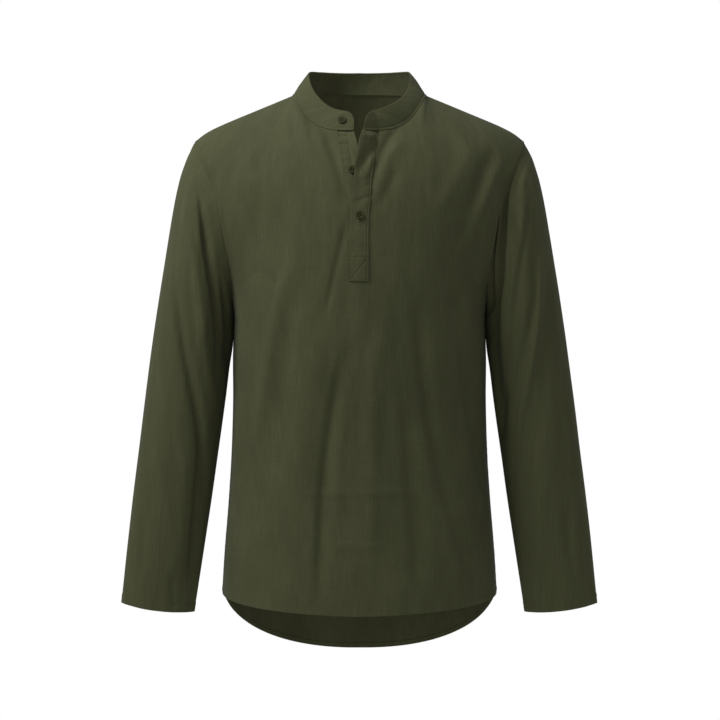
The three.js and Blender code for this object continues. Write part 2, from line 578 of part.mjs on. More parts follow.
// The upper strip lies over the slit and the panel's edge, from the neckline to one row below the slit's end.
function upperPlacket() {
  const grid = stripRows(SLIT_ROW - 1).map((row) => {
    const z = middleHeight(row);
    return steps(stripEdge(z, "upperLeft"), stripEdge(z, "slitRight") + PLACKET.overlap, 4).map((x) => {
      const outer = overFront(x, row, PLACKET.clear + PLACKET_CLOTH + flapLift(x, z));
      return layer(outer, panelOut("front", acrossAt(x, row), row), PLACKET_CLOTH);
    });
  });
  return clothWall(grid);
}

// BUTTONS

const wasm = await Module();
wasm.setup();

function toSolid(geometry) {
  const { attributes, index } = tidied(geometry);
  const [vertProperties, triVerts] = [attributes.position.array, new Uint32Array(index.array)];
  return new wasm.Manifold(new wasm.Mesh({ numProp: 3, vertProperties, triVerts }));
}

function toGeometry(solid) {
  const mesh = solid.getMesh();
  const geometry = new THREE.BufferGeometry();
  geometry.setAttribute("position", new THREE.BufferAttribute(new Float32Array(mesh.vertProperties), 3));
  geometry.setIndex(new THREE.BufferAttribute(mesh.triVerts, 1));
  geometry.computeVertexNormals();
  return geometry;
}

// Turned about its own z axis, with its flat back at z = 0.
function buttonShape() {
  const { radius, thick, rim, dish } = BUTTON;
  const holeRadius = BUTTON_HOLES.radius;
  const profile = [
    [0, 0],
    [radius - 1, 0],
    [radius, 0.8],
    [radius, thick - 0.6],
    [radius - 0.5, thick],
    [radius - rim, thick],
    [radius - rim - 0.7, thick - dish],
    [0, thick - dish],
  ].map(([x, y]) => new THREE.Vector2(x, y));
  let solid = toSolid(new THREE.LatheGeometry(profile, BUTTON.sides).rotateX(QUARTER_TURN));
  for (const x of [-1, 1]) {
    for (const y of [-1, 1]) {
      const hole = new THREE.CylinderGeometry(holeRadius, holeRadius, 3 * thick, BUTTON_HOLES.sides);
      hole.rotateX(QUARTER_TURN).translate(x * BUTTON_HOLES.at, y * BUTTON_HOLES.at, thick / 2);
      solid = solid.subtract(toSolid(hole));
    }
  }
  return toGeometry(solid);
}

// MATERIALS AND ASSEMBLY

const oliveCloth = new THREE.MeshStandardMaterial({ color: 0x45472e, roughness: 0.92, metalness: 0 });
const buttonResin = new THREE.MeshStandardMaterial({ color: 0x3c3d29, roughness: 0.45, metalness: 0 });

const shirt = new THREE.Group();

function addPiece(name, geometry, material = oliveCloth) {
  const piece = new THREE.Mesh(geometry, material);
  piece.name = name;
  shirt.add(piece);
  return piece;
}

function addButton(name, at, direction, clear) {
  const button = addPiece(name, buttonShape(), buttonResin);
  button.position.copy(at).addScaledVector(direction, clear);
  button.quaternion.setFromUnitVectors(vec(0, 0, 1), direction);
}

addPiece("front", frontPanel());
addPiece("back", backPanel());
addPiece("sleeve_left", sleeveTube(1));
addPiece("sleeve_right", sleeveTube(-1));
addPiece("collar_band", collarBand());
addPiece("placket_under", underPlacket());
addPiece("placket_upper", upperPlacket());

const collarAngle = 360 + COLLAR_BUTTON.angle;
addButton(
  "button_collar",
  plainBand(collarAngle, COLLAR_BUTTON.share),
  bandOut(collarAngle, COLLAR_BUTTON.share),
  BUTTON.clear,
);
for (const [name, at, height] of [
  ["button_middle", MIDDLE_BUTTON, 0],
  ["button_lower", LOWER_BUTTON, PLACKET.clear + PLACKET_CLOTH],
]) {
  const row = rowAt(at.z);
  addButton(name, overFront(at.x, row, height), panelOut("front", acrossAt(at.x, row), row), BUTTON.clear);
}

export default shirt;
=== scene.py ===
"""A long-sleeved henley shirt in crinkled linen and cotton, dark olive, filled out as it is worn.

Sizes are in millimetres and become metres where a mesh is made. x runs to the wearer's left, y to the back
and z up. The cut pieces repeat the forms of the solids they stand for, as thin cloth with its creases.
"""
import json
import bpy
import numpy as np
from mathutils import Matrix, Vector

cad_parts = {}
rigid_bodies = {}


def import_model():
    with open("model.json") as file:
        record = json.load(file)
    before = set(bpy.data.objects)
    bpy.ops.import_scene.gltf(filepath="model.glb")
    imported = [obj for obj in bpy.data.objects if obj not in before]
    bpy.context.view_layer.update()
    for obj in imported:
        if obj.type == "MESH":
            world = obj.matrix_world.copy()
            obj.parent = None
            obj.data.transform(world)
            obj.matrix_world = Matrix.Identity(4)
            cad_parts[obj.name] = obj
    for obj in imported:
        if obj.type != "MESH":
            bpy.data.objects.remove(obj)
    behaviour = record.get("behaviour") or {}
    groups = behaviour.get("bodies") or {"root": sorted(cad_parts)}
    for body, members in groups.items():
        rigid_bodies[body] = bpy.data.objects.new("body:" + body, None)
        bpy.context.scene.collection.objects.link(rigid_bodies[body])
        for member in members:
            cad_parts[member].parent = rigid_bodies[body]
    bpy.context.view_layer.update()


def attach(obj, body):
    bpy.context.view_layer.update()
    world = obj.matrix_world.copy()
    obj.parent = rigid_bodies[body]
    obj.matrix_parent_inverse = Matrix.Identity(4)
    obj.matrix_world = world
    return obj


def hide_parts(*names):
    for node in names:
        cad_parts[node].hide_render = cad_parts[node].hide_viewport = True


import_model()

MM = 0.001


def table(columns, *rows):
    """Rows of numbers under named columns, as a dictionary of arrays."""
    return dict(zip(columns.split(), np.array(rows, dtype=float).T))


# Cloth
SHIRTING = 0.7  # one layer of cloth, drawn a little thicker than the real 0.5
BAND_CLOTH = 1.9  # two layers and a stiffener
STRIP_CLOTH = 1.0  # a placket strip is folded double

# Body
SIDE_SHAPE = 0.85  # power on the cosine that makes a body section fuller than an ellipse
HEM = dict(side=-685.5, front=-709, back=-780, front_curve=1.6, back_curve=2.2, back_corner=1.35)
CHEST_ROW = dict(side=-297, middle=-330, curve=3)  # the row of points that runs through both armpits
NECK = dict(half=93, front=80, back=72, side=7, front_drop=56, back_rise=6, curve=3.9)
NECK_SHARE = 0.45  # share of a panel's width, at the top, that the neckline takes
SHOULDER = dict(x=230.5, z=-59, drop=8.9, drop_curve=11)  # it falls away at the last, over the arm
ARMHOLE = dict(front=62, back=60, bow=2.2, round=0.75)
CHEST_RISE = 3.3  # how long the front and back stay upright before they turn over the shoulder
BLADES = 12  # fullness over the shoulder blades
TURN = dict(neck=0.9, shoulder=0.5, fade=0.45)  # how evenly the cloth turns over the top: 0.5 is a dome
NECK_EASE = 0.3  # how soon, below the top edge, the corner at the neck point is smoothed away

BODY_SECTIONS = table(
    "z half front back",
    (-800, 196, 137, 124),
    (-690, 191.3, 134, 121),
    (-630, 187.8, 131, 117),
    (-560, 182.2, 129, 112),
    (-490, 178, 129, 109.3),
    (-420, 176, 131.8, 111.8),
    (-364, 176.3, 136, 116.6),
    (-330, 175.5, 137, 118),
    (-297, 174.6, 137, 118),
)

# The armhole seam seen from the front: its way out from the armpit to the shoulder tip, by its way up
ARMHOLE_REACH = table(
    "up out",
    (0, 0),
    (0.206, 0.054),
    (0.5, 0.27),
    (0.6, 0.34),
    (0.69, 0.425),
    (0.77, 0.555),
    (0.85, 0.735),
    (0.92, 0.88),
    (1, 1),
)

# A sleeve's outer and inner edge seen from the front, its half depth, and how far it hangs forward
SLEEVE_SECTIONS = table(
    "outer_x outer_z inner_x inner_z depth forward",
    (230.5, -59, 174.6, -297, 61, 0),
    (236.8, -71, 175.2, -299.5, 63, 0),
    (243.3, -86, 175.5, -303, 64.5, 0),
    (252.2, -115, 175.8, -309.5, 65.5, 0),
    (263, -169, 176.2, -322, 64, 1),
    (275.8, -247, 177, -345, 61, 2),
    (287.3, -325, 182.3, -376.5, 56, 4),
    (298, -406, 188.2, -425, 51, 7),
    (307.4, -482, 198, -497, 46, 10),
    (316.1, -556, 208, -569.5, 40, 13),
    (324.2, -630, 218.8, -642, 34, 16),
    (331.1, -700.5, 229.8, -713, 28, 18),
)
SLEEVE_SECTIONS["index"] = np.arange(len(SLEEVE_SECTIONS["depth"]), dtype=float)
SLEEVE_CAP_END = 0.3  # share of the sleeve over which the armhole's own shape fades out
SLEEVE_END_SAG = 3.5  # how far the sleeve's end hangs lower at its front and back than at its edges

# Band collar
BAND = dict(
    top_half=71.3, right_front=66, left_front=76, top_back=64, crown=1.5, right_corner=17, left_corner=20
)
BAND_ENDS = dict(start=4.3, end=354.9)  # angles of its two front ends
BAND_TOP_HEIGHTS = table(
    "angle right left",
    (0, -21.5, -21.5),
    (18, -20, -20),
    (35, -13.6, -12),
    (52, 0.4, -1.6),
    (68, 16.2, 12.5),
    (82, 31.4, 29),
    (95, 40, 39.5),
    (120, 44, 44),
    (180, 45.8, 45.8),
)

# Placket: two strips in a slit that spreads towards the neck
SLIT_END = -226
PLACKET_EDGES = table(
    "z slit_left slit_right upper_left under_right lift",
    (-227, -14.4, 12.7, -14.4, 12.2, 0),
    (-190, -14.7, 12.7, -13.5, 11.9, 0),
    (-170, -16.1, 13, -12.8, 10.5, 0.2),
    (-145, -18.5, 15.4, -10.9, 8.3, 1.3),
    (-120, -21.2, 17.2, -8.1, 5.5, 3.4),
    (-100, -23.5, 19.4, -5.6, 2.5, 5.4),
    (-82, -26.1, 21.8, -2.7, -0.8, 7),
    (-65, -28.3, 25.3, 0.2, -3.8, 8.3),
    (-49, -30.3, 26.6, 5, -8, 9),
)


# ARITHMETIC


def lerp(a, b, t):
    return a + (b - a) * t


def ease(t):
    """0 up to t = 0, 1 from t = 1, and a smooth step between."""
    t = np.clip(t, 0, 1)
    return t * t * (3 - 2 * t)


def power(base, exponent):
    return np.maximum(base, 0) ** exponent


def vec(x, y, z):
    return np.stack(np.broadcast_arrays(x, y, z), axis=-1).astype(float)


def unit(v):
    return v / np.maximum(np.linalg.norm(v, axis=-1, keepdims=True), 1e-12)


def between(rows, by, at, column):
    """Smooth curve through a table: cubic pieces whose slope at a row is that from the row before to the
    next."""
    x, y = rows[by], rows[column]
    if x[0] > x[-1]:
        x, y = x[::-1], y[::-1]
    last = len(x) - 1
    low, high = np.maximum(np.arange(last + 1) - 1, 0), np.minimum(np.arange(last + 1) + 1, last)
    slope = (y[high] - y[low]) / (x[high] - x[low])
    i = np.clip(np.searchsorted(x, at, side="right"), 1, last)
    span = x[i] - x[i - 1]
    t = np.clip((at - x[i - 1]) / span, 0, 1)
    t2, t3 = t * t, t * t * t
    start = (2 * t3 - 3 * t2 + 1) * y[i - 1] + (t3 - 2 * t2 + t) * span * slope[i - 1]
    return start + (3 * t2 - 2 * t3) * y[i] + (t3 - t2) * span * slope[i]


def outward(surface, u, v, u_limits, v_limits, facing=1, step=2e-3):
    """Unit normal of a surface at (u, v), across two short steps that stay inside its limits."""
    u0, u1 = np.maximum(u - step, u_limits[0]), np.minimum(u + step, u_limits[1])
    v0, v1 = np.maximum(v - step, v_limits[0]), np.minimum(v + step, v_limits[1])
    along_u = surface(u1, v) - surface(u0, v)
    along_v = surface(u, v1) - surface(u, v0)
    return unit(np.cross(along_u, along_v)) * facing


def speckle(u, v, seed):
    """Smooth random field from -1 to 1: random values at whole numbers of u and v, eased between them."""
    lattice = np.random.default_rng(seed).uniform(-1, 1, (97, 89))
    i, j = np.floor(u).astype(int), np.floor(v).astype(int)
    s, t = ease(u - i), ease(v - j)
    low = lerp(lattice[i % 97, j % 89], lattice[(i + 1) % 97, j % 89], s)
    high = lerp(lattice[i % 97, (j + 1) % 89], lattice[(i + 1) % 97, (j + 1) % 89], s)
    return lerp(low, high, t)


# FOLDS. Each is a soft ridge (height over 0) or trough along a line from (a0, b0) to (a1, b1). "bow"
# moves its middle sideways, "lean" makes the flank on one side wider than the other, and "fade" is the
# share of its length over which each end dies away.


def fold_height(rows, a, b, scale=1):
    """Sum of the folds of a table at (a, b): a bell across each line, faded at both ends."""
    total = np.zeros(np.broadcast(a, b).shape)
    for a0, b0, a1, b1, bow, width, height, lean in zip(
        *(rows[c] for c in "a0 b0 a1 b1 bow width height lean".split())
    ):
        da, db = a1 - a0, b1 - b0
        length = np.hypot(da, db)
        along = ((a - a0) * da + (b - b0) * db) / length**2
        t = np.clip(along, 0, 1)
        off = (((a - a0) * db - (b - b0) * da) / length - bow * 4 * t * (1 - t)) / width
        off = off / (1 + lean * np.tanh(2 * off))
        total += scale * height * np.exp(-off * off) * ease(along / 0.25) * ease((1 - along) / 0.25)
    return total


# x and z on the front and back
FRONT_FOLDS = table(
    "a0 b0 a1 b1 bow width height lean",
    (-92, -215, -141, -499, 6, 9.5, 4.2, 0),
    (-69, -231, -117, -486, 6, 12, -2.4, 0),
    (-48, -283, -112, -685, 0, 20, 3.6, 0),
    (-14, -166, -47, -310, 1, 4.5, -2.4, 0),
    (-13, -322, -52, -714, 15, 10, -5.4, -0.3),
    (-29, -323, -36, -593, -3, 12, 2.2, 0),
    (20, -310, 16, -640, 0, 12, 3.4, 0),
    (57, -385, 84, -700, 0, 11, -4.4, -0.2),
    (77, -243, 170, -701, 23, 10, -5.8, -0.3),
    (95, -300, 150, -640, 12, 14, 3, 0),
    (110, -195, 176, -590, -3, 10, -6.4, -0.3),
    (-100, -545, 95, -542, 0, 4.5, 0.9, 0),
    (-45, -615, 45, -616, 0, 4.5, 0.7, 0),
    (189, -61, 125, -216, -3, 12, -5.5, 0),
    (200, -82, 151, -189, 1, 10, 3.2, 0),
    (152, -62, 104, -170, -3, 12, 2.6, 0),
    (214, -76, 185, -164, 3, 8, -2.6, 0),
    (67, -55, 23, -153, 11, 8, 2.8, -0.3),
    (56, -40, 22, -116, 7, 6, -3, 0),
    (57, -99, 25, -164, 2, 7, -1.5, 0),
    (-53, -40, -16, -165, -5, 7, -2.6, 0.2),
    (-66, -34, -24, -155, -3, 9, 2.2, 0),
    (-84, -10, -62, -93, 1, 7, 1.6, 0),
    (-93, -4, -86, -72, 2, 6, -1.4, 0),
    (-176, -60, -147, -118, 1, 10, -1.6, 0),
    (-215, -94, -183, -193, -6, 9, -1.6, 0),
    (-147, -231, -103, -261, 6, 9, -1.6, 0),
    (-162, -392, -170, -585, -1, 12, 1.6, 0),
)
BACK_FOLDS = table(
    "a0 b0 a1 b1 bow width height lean",
    (-120, -150, -84, -790, 8, 28, 4, 0),
    (-52, -330, -40, -800, 0, 24, -5, 0),
    (8, -260, 4, -800, 0, 26, 4, 0),
    (60, -360, 50, -800, 0, 22, -4.5, 0),
    (112, -170, 100, -760, -8, 26, 4, 0),
)
UPPER_STRIP_FOLDS = table(
    "a0 b0 a1 b1 bow width height lean",
    (36, -50.5, -10, -53, 0, 3.2, -2.2, 0),
    (24, -60, 2, -62, 0, 4, 1.8, 0),
    (29, -62, -5, -118, 2, 6, -2.8, 0.3),
    (24, -82, 4, -124, 0, 5, 1.8, 0),
    (27, -44, 18, -112, 0, 6, -2, 0),
    (4, -44, -4, -104, 0, 5, 1.6, 0),
    (24, -125, 0, -131, 0, 2.2, -0.5, 0),
    (22, -140, -6, -152, 0, 3, -0.7, 0),
)
UNDER_STRIP_FOLDS = table(
    "a0 b0 a1 b1 bow width height lean",
    (-38, -49.5, 0, -49.5, 0, 2.4, -1.4, 0),
    (-38, -55.5, -14, -57.5, 0, 1.8, -0.8, 0),
    (-36, -67.5, -12, -69, 0, 1.8, -0.8, 0),
)
# Degrees from a sleeve's outer edge towards the front, and millimetres down its middle length
RIGHT_SLEEVE_FOLDS = table(
    "a0 b0 a1 b1 bow width height lean",
    (48, 80, 140, 330, 22, 12, -8, 0.4),
    (49, 155, 114, 294, 10, 13, 2.6, 0),
    (44, 235, 138, 425, 3, 7, -5.5, 0.1),
    (98, 232, 152, 374, -7, 9, 2.4, 0),
    (124, 375, 140, 540, 0, 12, -4, 0.6),
    (126, 90, 164, 320, 6, 12, -6, 0),
    (100, 386, 112, 539, 5, 14, 1.4, 0),
    (104, 520, 122, 562, 0, 6, -2.4, 0),
    (55, 438, 58, 533, 1, 12, -1.4, 0),
    (180, 20, 180, 250, 0, 14, 1.3, 0),
    (236, 60, 262, 330, 6, 14, -4, 0),
    (290, 160, 284, 520, -5, 20, 3, 0),
)
LEFT_SLEEVE_FOLDS = table(
    "a0 b0 a1 b1 bow width height lean",
    (40, 0, 152, 290, 24, 14, -9, 0.5),
    (70, -20, 150, 170, 22, 10, -6, 0),
    (138, 190, 158, 400, 0, 11, -6, 0),
    (34, 50, 98, 240, 4, 10, 2.2, 0),
    (46, 127, 115, 270, 6, 9, -2.8, 0),
    (42, 190, 138, 415, -7, 6, 4.4, 0),
    (62, 235, 140, 385, 0, 9, -3.2, 0),
    (132, 330, 180, 399, -8, 8, -4, 0),
    (27, 218, 82, 379, 6, 10, -2.2, 0),
    (68, 360, 130, 520, -7, 18, 2, 0),
    (51, 326, 70, 540, 0, 11, -2.4, 0),
    (74, 468, 66, 506, 0, 5, -1.6, 0),
    (80, 498, 58, 520, 0, 4, -1.4, 0),
    (40, 516, 30, 562, 0, 5, -1.6, 0),
    (180, 20, 180, 250, 0, 14, 1.3, 0),
    (238, 70, 270, 360, 6, 14, -4, 0),
    (292, 180, 280, 520, -5, 20, 3, 0),
)


# BODY. "across" runs from -1 at one side seam or armhole to 1 at the other. "row" runs from 0 at the hem,
# by 1 at the level of the armpits, to 2 at the shoulder seams and the neckline.


def body_section(side, across, z):
    """x goes with the sine of the angle and y with a power of its cosine, at the table's half width and
    depth."""
    angle = across * np.pi / 2
    reach = between(BODY_SECTIONS, "z", z, side) * power(np.cos(angle), SIDE_SHAPE)
    half = between(BODY_SECTIONS, "z", z, "half")
    return vec(half * np.sin(angle), -reach if side == "front" else reach, z)


def neckline(degrees):
    """An oval from the centre front round the wearer's left: its height follows a power of the sine in
    front."""
    s, c = np.sin(np.radians(degrees)), np.cos(np.radians(degrees))
    y = -np.where(c > 0, NECK["front"], NECK["back"]) * c
    in_front = -NECK["front_drop"] * (1 - np.abs(s) ** NECK["curve"])
    z = NECK["side"] + np.where(c > 0, in_front, NECK["back_rise"] * c * c)
    return vec(NECK["half"] * s, y, z)


def top_edge(side, across):
    """The neckline in the middle and a straight shoulder seam on each side, which falls away at its tip."""
    angle = across / NECK_SHARE * 90
    on_neck = neckline(angle if side == "front" else 180 - angle)
    along = np.clip((np.abs(across) - NECK_SHARE) / (1 - NECK_SHARE), 0, 1)
    z = lerp(NECK["side"], SHOULDER["z"] + SHOULDER["drop"], along)
    z = z - SHOULDER["drop"] * along ** SHOULDER["drop_curve"]
    on_shoulder = vec(np.sign(across) * lerp(NECK["half"], SHOULDER["x"], along), 0, z)
    return np.where((np.abs(across) <= NECK_SHARE)[..., None], on_neck, on_shoulder)


def soft_top_edge(side, across, h):
    """The top edge as lower rows follow it: averaged over some way to both sides, so that its corners
    fade."""
    reach = np.minimum(NECK_EASE * (1 - h) ** 0.6, 1 - np.abs(across))
    return np.mean([top_edge(side, across + shift * reach) for shift in np.linspace(-1, 1, 9)], axis=0)


def yoke_share(row):
    return (1 - np.cos((row - 1) * np.pi)) / 2


def armhole_bow(h):
    return power(1 - np.abs(2 * h - 1) ** ARMHOLE["bow"], ARMHOLE["round"])


def armhole_reach(h):
    return between(ARMHOLE_REACH, "up", h, "out")


def hem_height(side, share):
    """The front hem drops a little to its middle, and the back hem drops much further, as a long tail."""
    if side == "front":
        return lerp(HEM["front"], HEM["side"], share ** HEM["front_curve"])
    return lerp(HEM["side"], HEM["back"], power(1 - share ** HEM["back_curve"], HEM["back_corner"]))


def chest_height(share):
    return lerp(CHEST_ROW["middle"], CHEST_ROW["side"], share ** CHEST_ROW["curve"])


def plain_panel(side, across, row):
    """Oval sections up to the armpits. Above them each line stays upright and then turns over to the top
    edge, and towards the armhole the cloth is carried out over the arm."""
    share = np.abs(across)
    chest = chest_height(share)
    below = body_section(side, across, lerp(hem_height(side, share), chest, np.minimum(row, 1)))
    h = yoke_share(np.maximum(row, 1))
    low, top = body_section(side, across, chest), soft_top_edge(side, across, h)
    past_neck = ease((share - NECK_SHARE) / TURN["fade"])
    turn = lerp(lerp(1, TURN["neck"], ease(share / NECK_SHARE)), TURN["shoulder"], past_neck)
    upright = power(1 - h**CHEST_RISE, turn)
    roundness = power(np.cos(across * np.pi / 2), SIDE_SHAPE)
    near_arm = (1 - roundness) * share ** (10 * (1 - h) ** 3)
    bow = ARMHOLE[side] * armhole_bow(h) * near_arm
    y = lerp(top[..., 1], low[..., 1], upright) + (-bow if side == "front" else bow)
    if side == "back":
        y = y + BLADES * np.sin(h * np.pi) ** 2 * roundness
    x = lerp(low[..., 0], top[..., 0], armhole_reach(h))
    above = vec(x, y, lerp(low[..., 2], top[..., 2], h))
    return np.where((row <= 1)[..., None], below, above)


PANEL_FACING = {"front": 1, "back": -1}


def panel(side, across, row):
    """The plain panel moved out along its normal by its folds, which fade out at the seams."""
    across, row = np.broadcast_arrays(np.asarray(across, float), np.asarray(row, float))
    plain = plain_panel(side, across, row)
    out = outward(lambda u, v: plain_panel(side, u, v), across, row, (-1, 1), (0, 2), PANEL_FACING[side])
    x, z = plain[..., 0], plain[..., 2]
    fade = (1 - np.abs(across) ** 14) * ease((2 - row) / 0.12)
    height = fold_height(FRONT_FOLDS if side == "front" else BACK_FOLDS, x, z)
    height += 0.55 * speckle(x / 17 + 40, z / 110, 3 + len(side))
    height += 0.22 * speckle(x / 7.5 + 40, z / 46, 7 + len(side))
    return plain + out * (height * fade)[..., None]


def panel_out(side, across, row):
    across, row = np.broadcast_arrays(np.asarray(across, float), np.asarray(row, float))
    return outward(lambda u, v: panel(side, u, v), across, row, (-1, 1), (0, 2), PANEL_FACING[side])


# SLEEVES. "angle" runs in degrees from the outer edge to the front, and "share" from 0 at the armhole to 1 at
# the sleeve's end.


def plain_sleeve(angle, share):
    """Ovals between the two edges. The first ring is the armhole itself, and the next ones turn into
    ovals."""
    at = share * (len(SLEEVE_SECTIONS["depth"]) - 1)
    size = {c: between(SLEEVE_SECTIONS, "index", at, c) for c in SLEEVE_SECTIONS}
    turn = np.radians(angle)
    h, facing = (1 + np.cos(turn)) / 2, -np.sin(turn)
    cap = 1 - ease(share / SLEEVE_CAP_END)
    arm_depth = np.where(facing < 0, ARMHOLE["front"], ARMHOLE["back"])
    y = lerp(size["depth"] * facing, np.sign(facing) * arm_depth * armhole_bow(h), cap) - size["forward"]
    x = lerp(size["inner_x"], size["outer_x"], lerp(h, armhole_reach(h), cap))
    z = lerp(size["inner_z"], size["outer_z"], h) - SLEEVE_END_SAG * facing**2 * share**8
    return vec(x, y, z)


SLEEVE_FOLDS = {1: LEFT_SLEEVE_FOLDS, -1: RIGHT_SLEEVE_FOLDS}
SLEEVE_LENGTH = 560  # along the middle of its front


def per_degree(surface):
    """The same surface with u counted in quarter turns, so that a step in u is about as long as one in v."""
    return lambda u, v: surface(u * 90, v)


def sleeve(arm, angle, share):
    """The plain sleeve, on the wearer's left, moved out along its normal by the folds of one arm."""
    angle, share = np.broadcast_arrays(np.asarray(angle, float), np.asarray(share, float))
    out = outward(per_degree(plain_sleeve), angle / 90, share, (-1e9, 1e9), (0, 1))
    down = share * SLEEVE_LENGTH
    height = fold_height(SLEEVE_FOLDS[arm], angle, down) + fold_height(SLEEVE_FOLDS[arm], angle + 360, down)
    around = np.abs((angle + 180) % 360 - 180)
    height += 0.5 * speckle(around / 13, share * 7, 11 + arm)
    height += 0.2 * speckle(around / 6, share * 15, 21 + arm)
    return plain_sleeve(angle, share) + out * (height * ease(share / 0.014))[..., None]


# PLACKET AND BAND


def strip_edge(z, column):
    return between(PLACKET_EDGES, "z", z, column)


def across_at(x, row):
    """The share across the front at which x has a given value on a row, found by halving."""
    x, row = np.broadcast_arrays(np.asarray(x, float), np.asarray(row, float))
    low, high = -np.ones_like(x), np.ones_like(x)
    for _ in range(24):
        middle = (low + high) / 2
        short = plain_panel("front", middle, row)[..., 0] < x
        low, high = np.where(short, middle, low), np.where(short, high, middle)
    return (low + high) / 2


def middle_height(row):
    return plain_panel("front", np.zeros_like(row), row)[..., 2]


def row_at(z):
    """The row of the front's middle line that lies at a height above the armpit row."""
    rise = (z - CHEST_ROW["middle"]) / (neckline(0.0)[2] - CHEST_ROW["middle"])
    return 1 + np.arccos(1 - 2 * rise) / np.pi


def flap_lift(x, z):
    """The unbuttoned end of the upper strip, and the collar over it, stand off most at the free edge."""
    free, sewn = strip_edge(z, "upper_left"), strip_edge(z, "slit_right")
    return strip_edge(z, "lift") * np.clip((sewn - x) / (sewn - free), 0, 1.2)


def over_front(x, row, distance):
    """Points on the front at a given x and row, moved out by a distance."""
    across = across_at(x, row)
    return panel("front", across, row) + panel_out("front", across, row) * np.asarray(distance)[..., None]


def plain_band(degrees, share):
    """From the neckline up to a smaller oval, slightly crowned, with rounded corners and the lifted left
    end."""
    degrees, share = np.broadcast_arrays(np.asarray(degrees, float), np.asarray(share, float))
    low = neckline(degrees)
    s, c = np.sin(np.radians(degrees)), np.cos(np.radians(degrees))
    from_front = np.abs((degrees + 180) % 360 - 180)
    top_y = -np.where(c > 0, np.where(s < 0, BAND["right_front"], BAND["left_front"]), BAND["top_back"]) * c
    top_z = [between(BAND_TOP_HEIGHTS, "angle", from_front, side) for side in ("right", "left")]
    top = vec(BAND["top_half"] * s, top_y, np.where(s < 0, *top_z))
    ends = np.abs(neckline(np.array([BAND_ENDS["start"], BAND_ENDS["end"]]))[:, 0])
    to_end = np.abs(low[..., 0]) - np.where(low[..., 0] > 0, ends[0], ends[1])
    corner = np.where(low[..., 0] > 0, BAND["left_corner"], BAND["right_corner"])
    inset = corner - np.where(c > 0, np.clip(to_end, 0, corner), corner)
    cut = corner - np.sqrt(corner**2 - inset**2)
    v = share * (1 - cut / np.linalg.norm(top - low, axis=-1))
    lift = np.where((c > 0) & (low[..., 0] > 0), flap_lift(low[..., 0], neckline(0.0)[2]), 0)
    off = BAND["crown"] * np.sin(v * np.pi) + lift
    return lerp(low, top, v[..., None]) + vec(s * off, -c * off, 0)


# MESHES. A grid's rows run up a piece and its columns across it; the last axis holds x, y and z.

# Steps from a seam, close where it is sewn.
EDGE_STEPS = np.array([0, 0.7, 1.5, 2.6, 3.8, 4.7, 5.3, 5.9, 6.7, 7.6, 9])
HEM_STEPS = np.array([0, 0.7, 1.6, 3, 4.6, 5.7, 6.3, 6.9, 7.7, 8.8, 10.2])  # from the body's hem
CUFF_STEPS = np.array([0, 0.7, 2, 4.5, 7.5, 10, 11.3, 11.9, 12.5, 13.1, 14, 16])  # from a sleeve's end
HEAD_STEPS = np.array([0, 0.6, 1.3, 2.4, 4, 6])  # from a sleeve's armhole seam
BODY_ROWS, YOKE_ROWS, SLEEVE_ROWS = 84, 100, 150


def grid_normals(points, facing=1, ring=False):
    """Unit normals of a grid of points, from the differences between the neighbours on both sides."""
    if ring:
        wide = np.concatenate([points[:, -2:], points, points[:, :2]], axis=1)
        return grid_normals(wide, facing)[:, 2:-2]
    return unit(np.cross(np.gradient(points, axis=1), np.gradient(points, axis=0))) * facing


def add_piece(name, points, faces, corner_uv, material):
    """Makes a mesh object from points in millimetres and four-cornered faces, without its loose points."""
    used, corners = np.unique(faces, return_inverse=True)
    mesh = bpy.data.meshes.new(name)
    mesh.vertices.add(len(used))
    mesh.vertices.foreach_set("co", (points[used] * MM).astype(np.float32).ravel())
    mesh.loops.add(faces.size)
    mesh.loops.foreach_set("vertex_index", corners.astype(np.int32).ravel())
    mesh.polygons.add(len(faces))
    mesh.polygons.foreach_set("loop_start", np.arange(0, faces.size, 4, dtype=np.int32))
    mesh.update(calc_edges=True)
    mesh.shade_smooth()
    mesh.set_sharp_from_angle(angle=np.radians(55))
    layer = mesh.uv_layers.new(name="cloth")
    layer.data.foreach_set("uv", (corner_uv * MM).astype(np.float32).ravel())
    mesh.materials.append(material)
    piece = bpy.data.objects.new(name, mesh)
    bpy.context.scene.collection.objects.link(piece)
    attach(piece, "root")
    return piece


def grid_cells(at):
    """The four corners of each cell of a grid, counterclockwise where columns run right and rows run up."""
    return [at[:-1, :-1], at[:-1, 1:], at[1:, 1:], at[1:, :-1]]


def cloth_uv(points):
    """Distances along the cloth in millimetres: across from the middle column, and up from the first row."""
    across = np.linalg.norm(np.diff(points, axis=1), axis=-1)
    up = np.linalg.norm(np.diff(points, axis=0), axis=-1)
    u = np.concatenate([np.zeros((len(points), 1)), np.cumsum(across, axis=1)], axis=1)
    v = np.concatenate([np.zeros((1, points.shape[1])), np.cumsum(up, axis=0)], axis=0)
    return np.stack([u - u[:, [points.shape[1] // 2]], v + points[0, :, 2]], axis=-1)


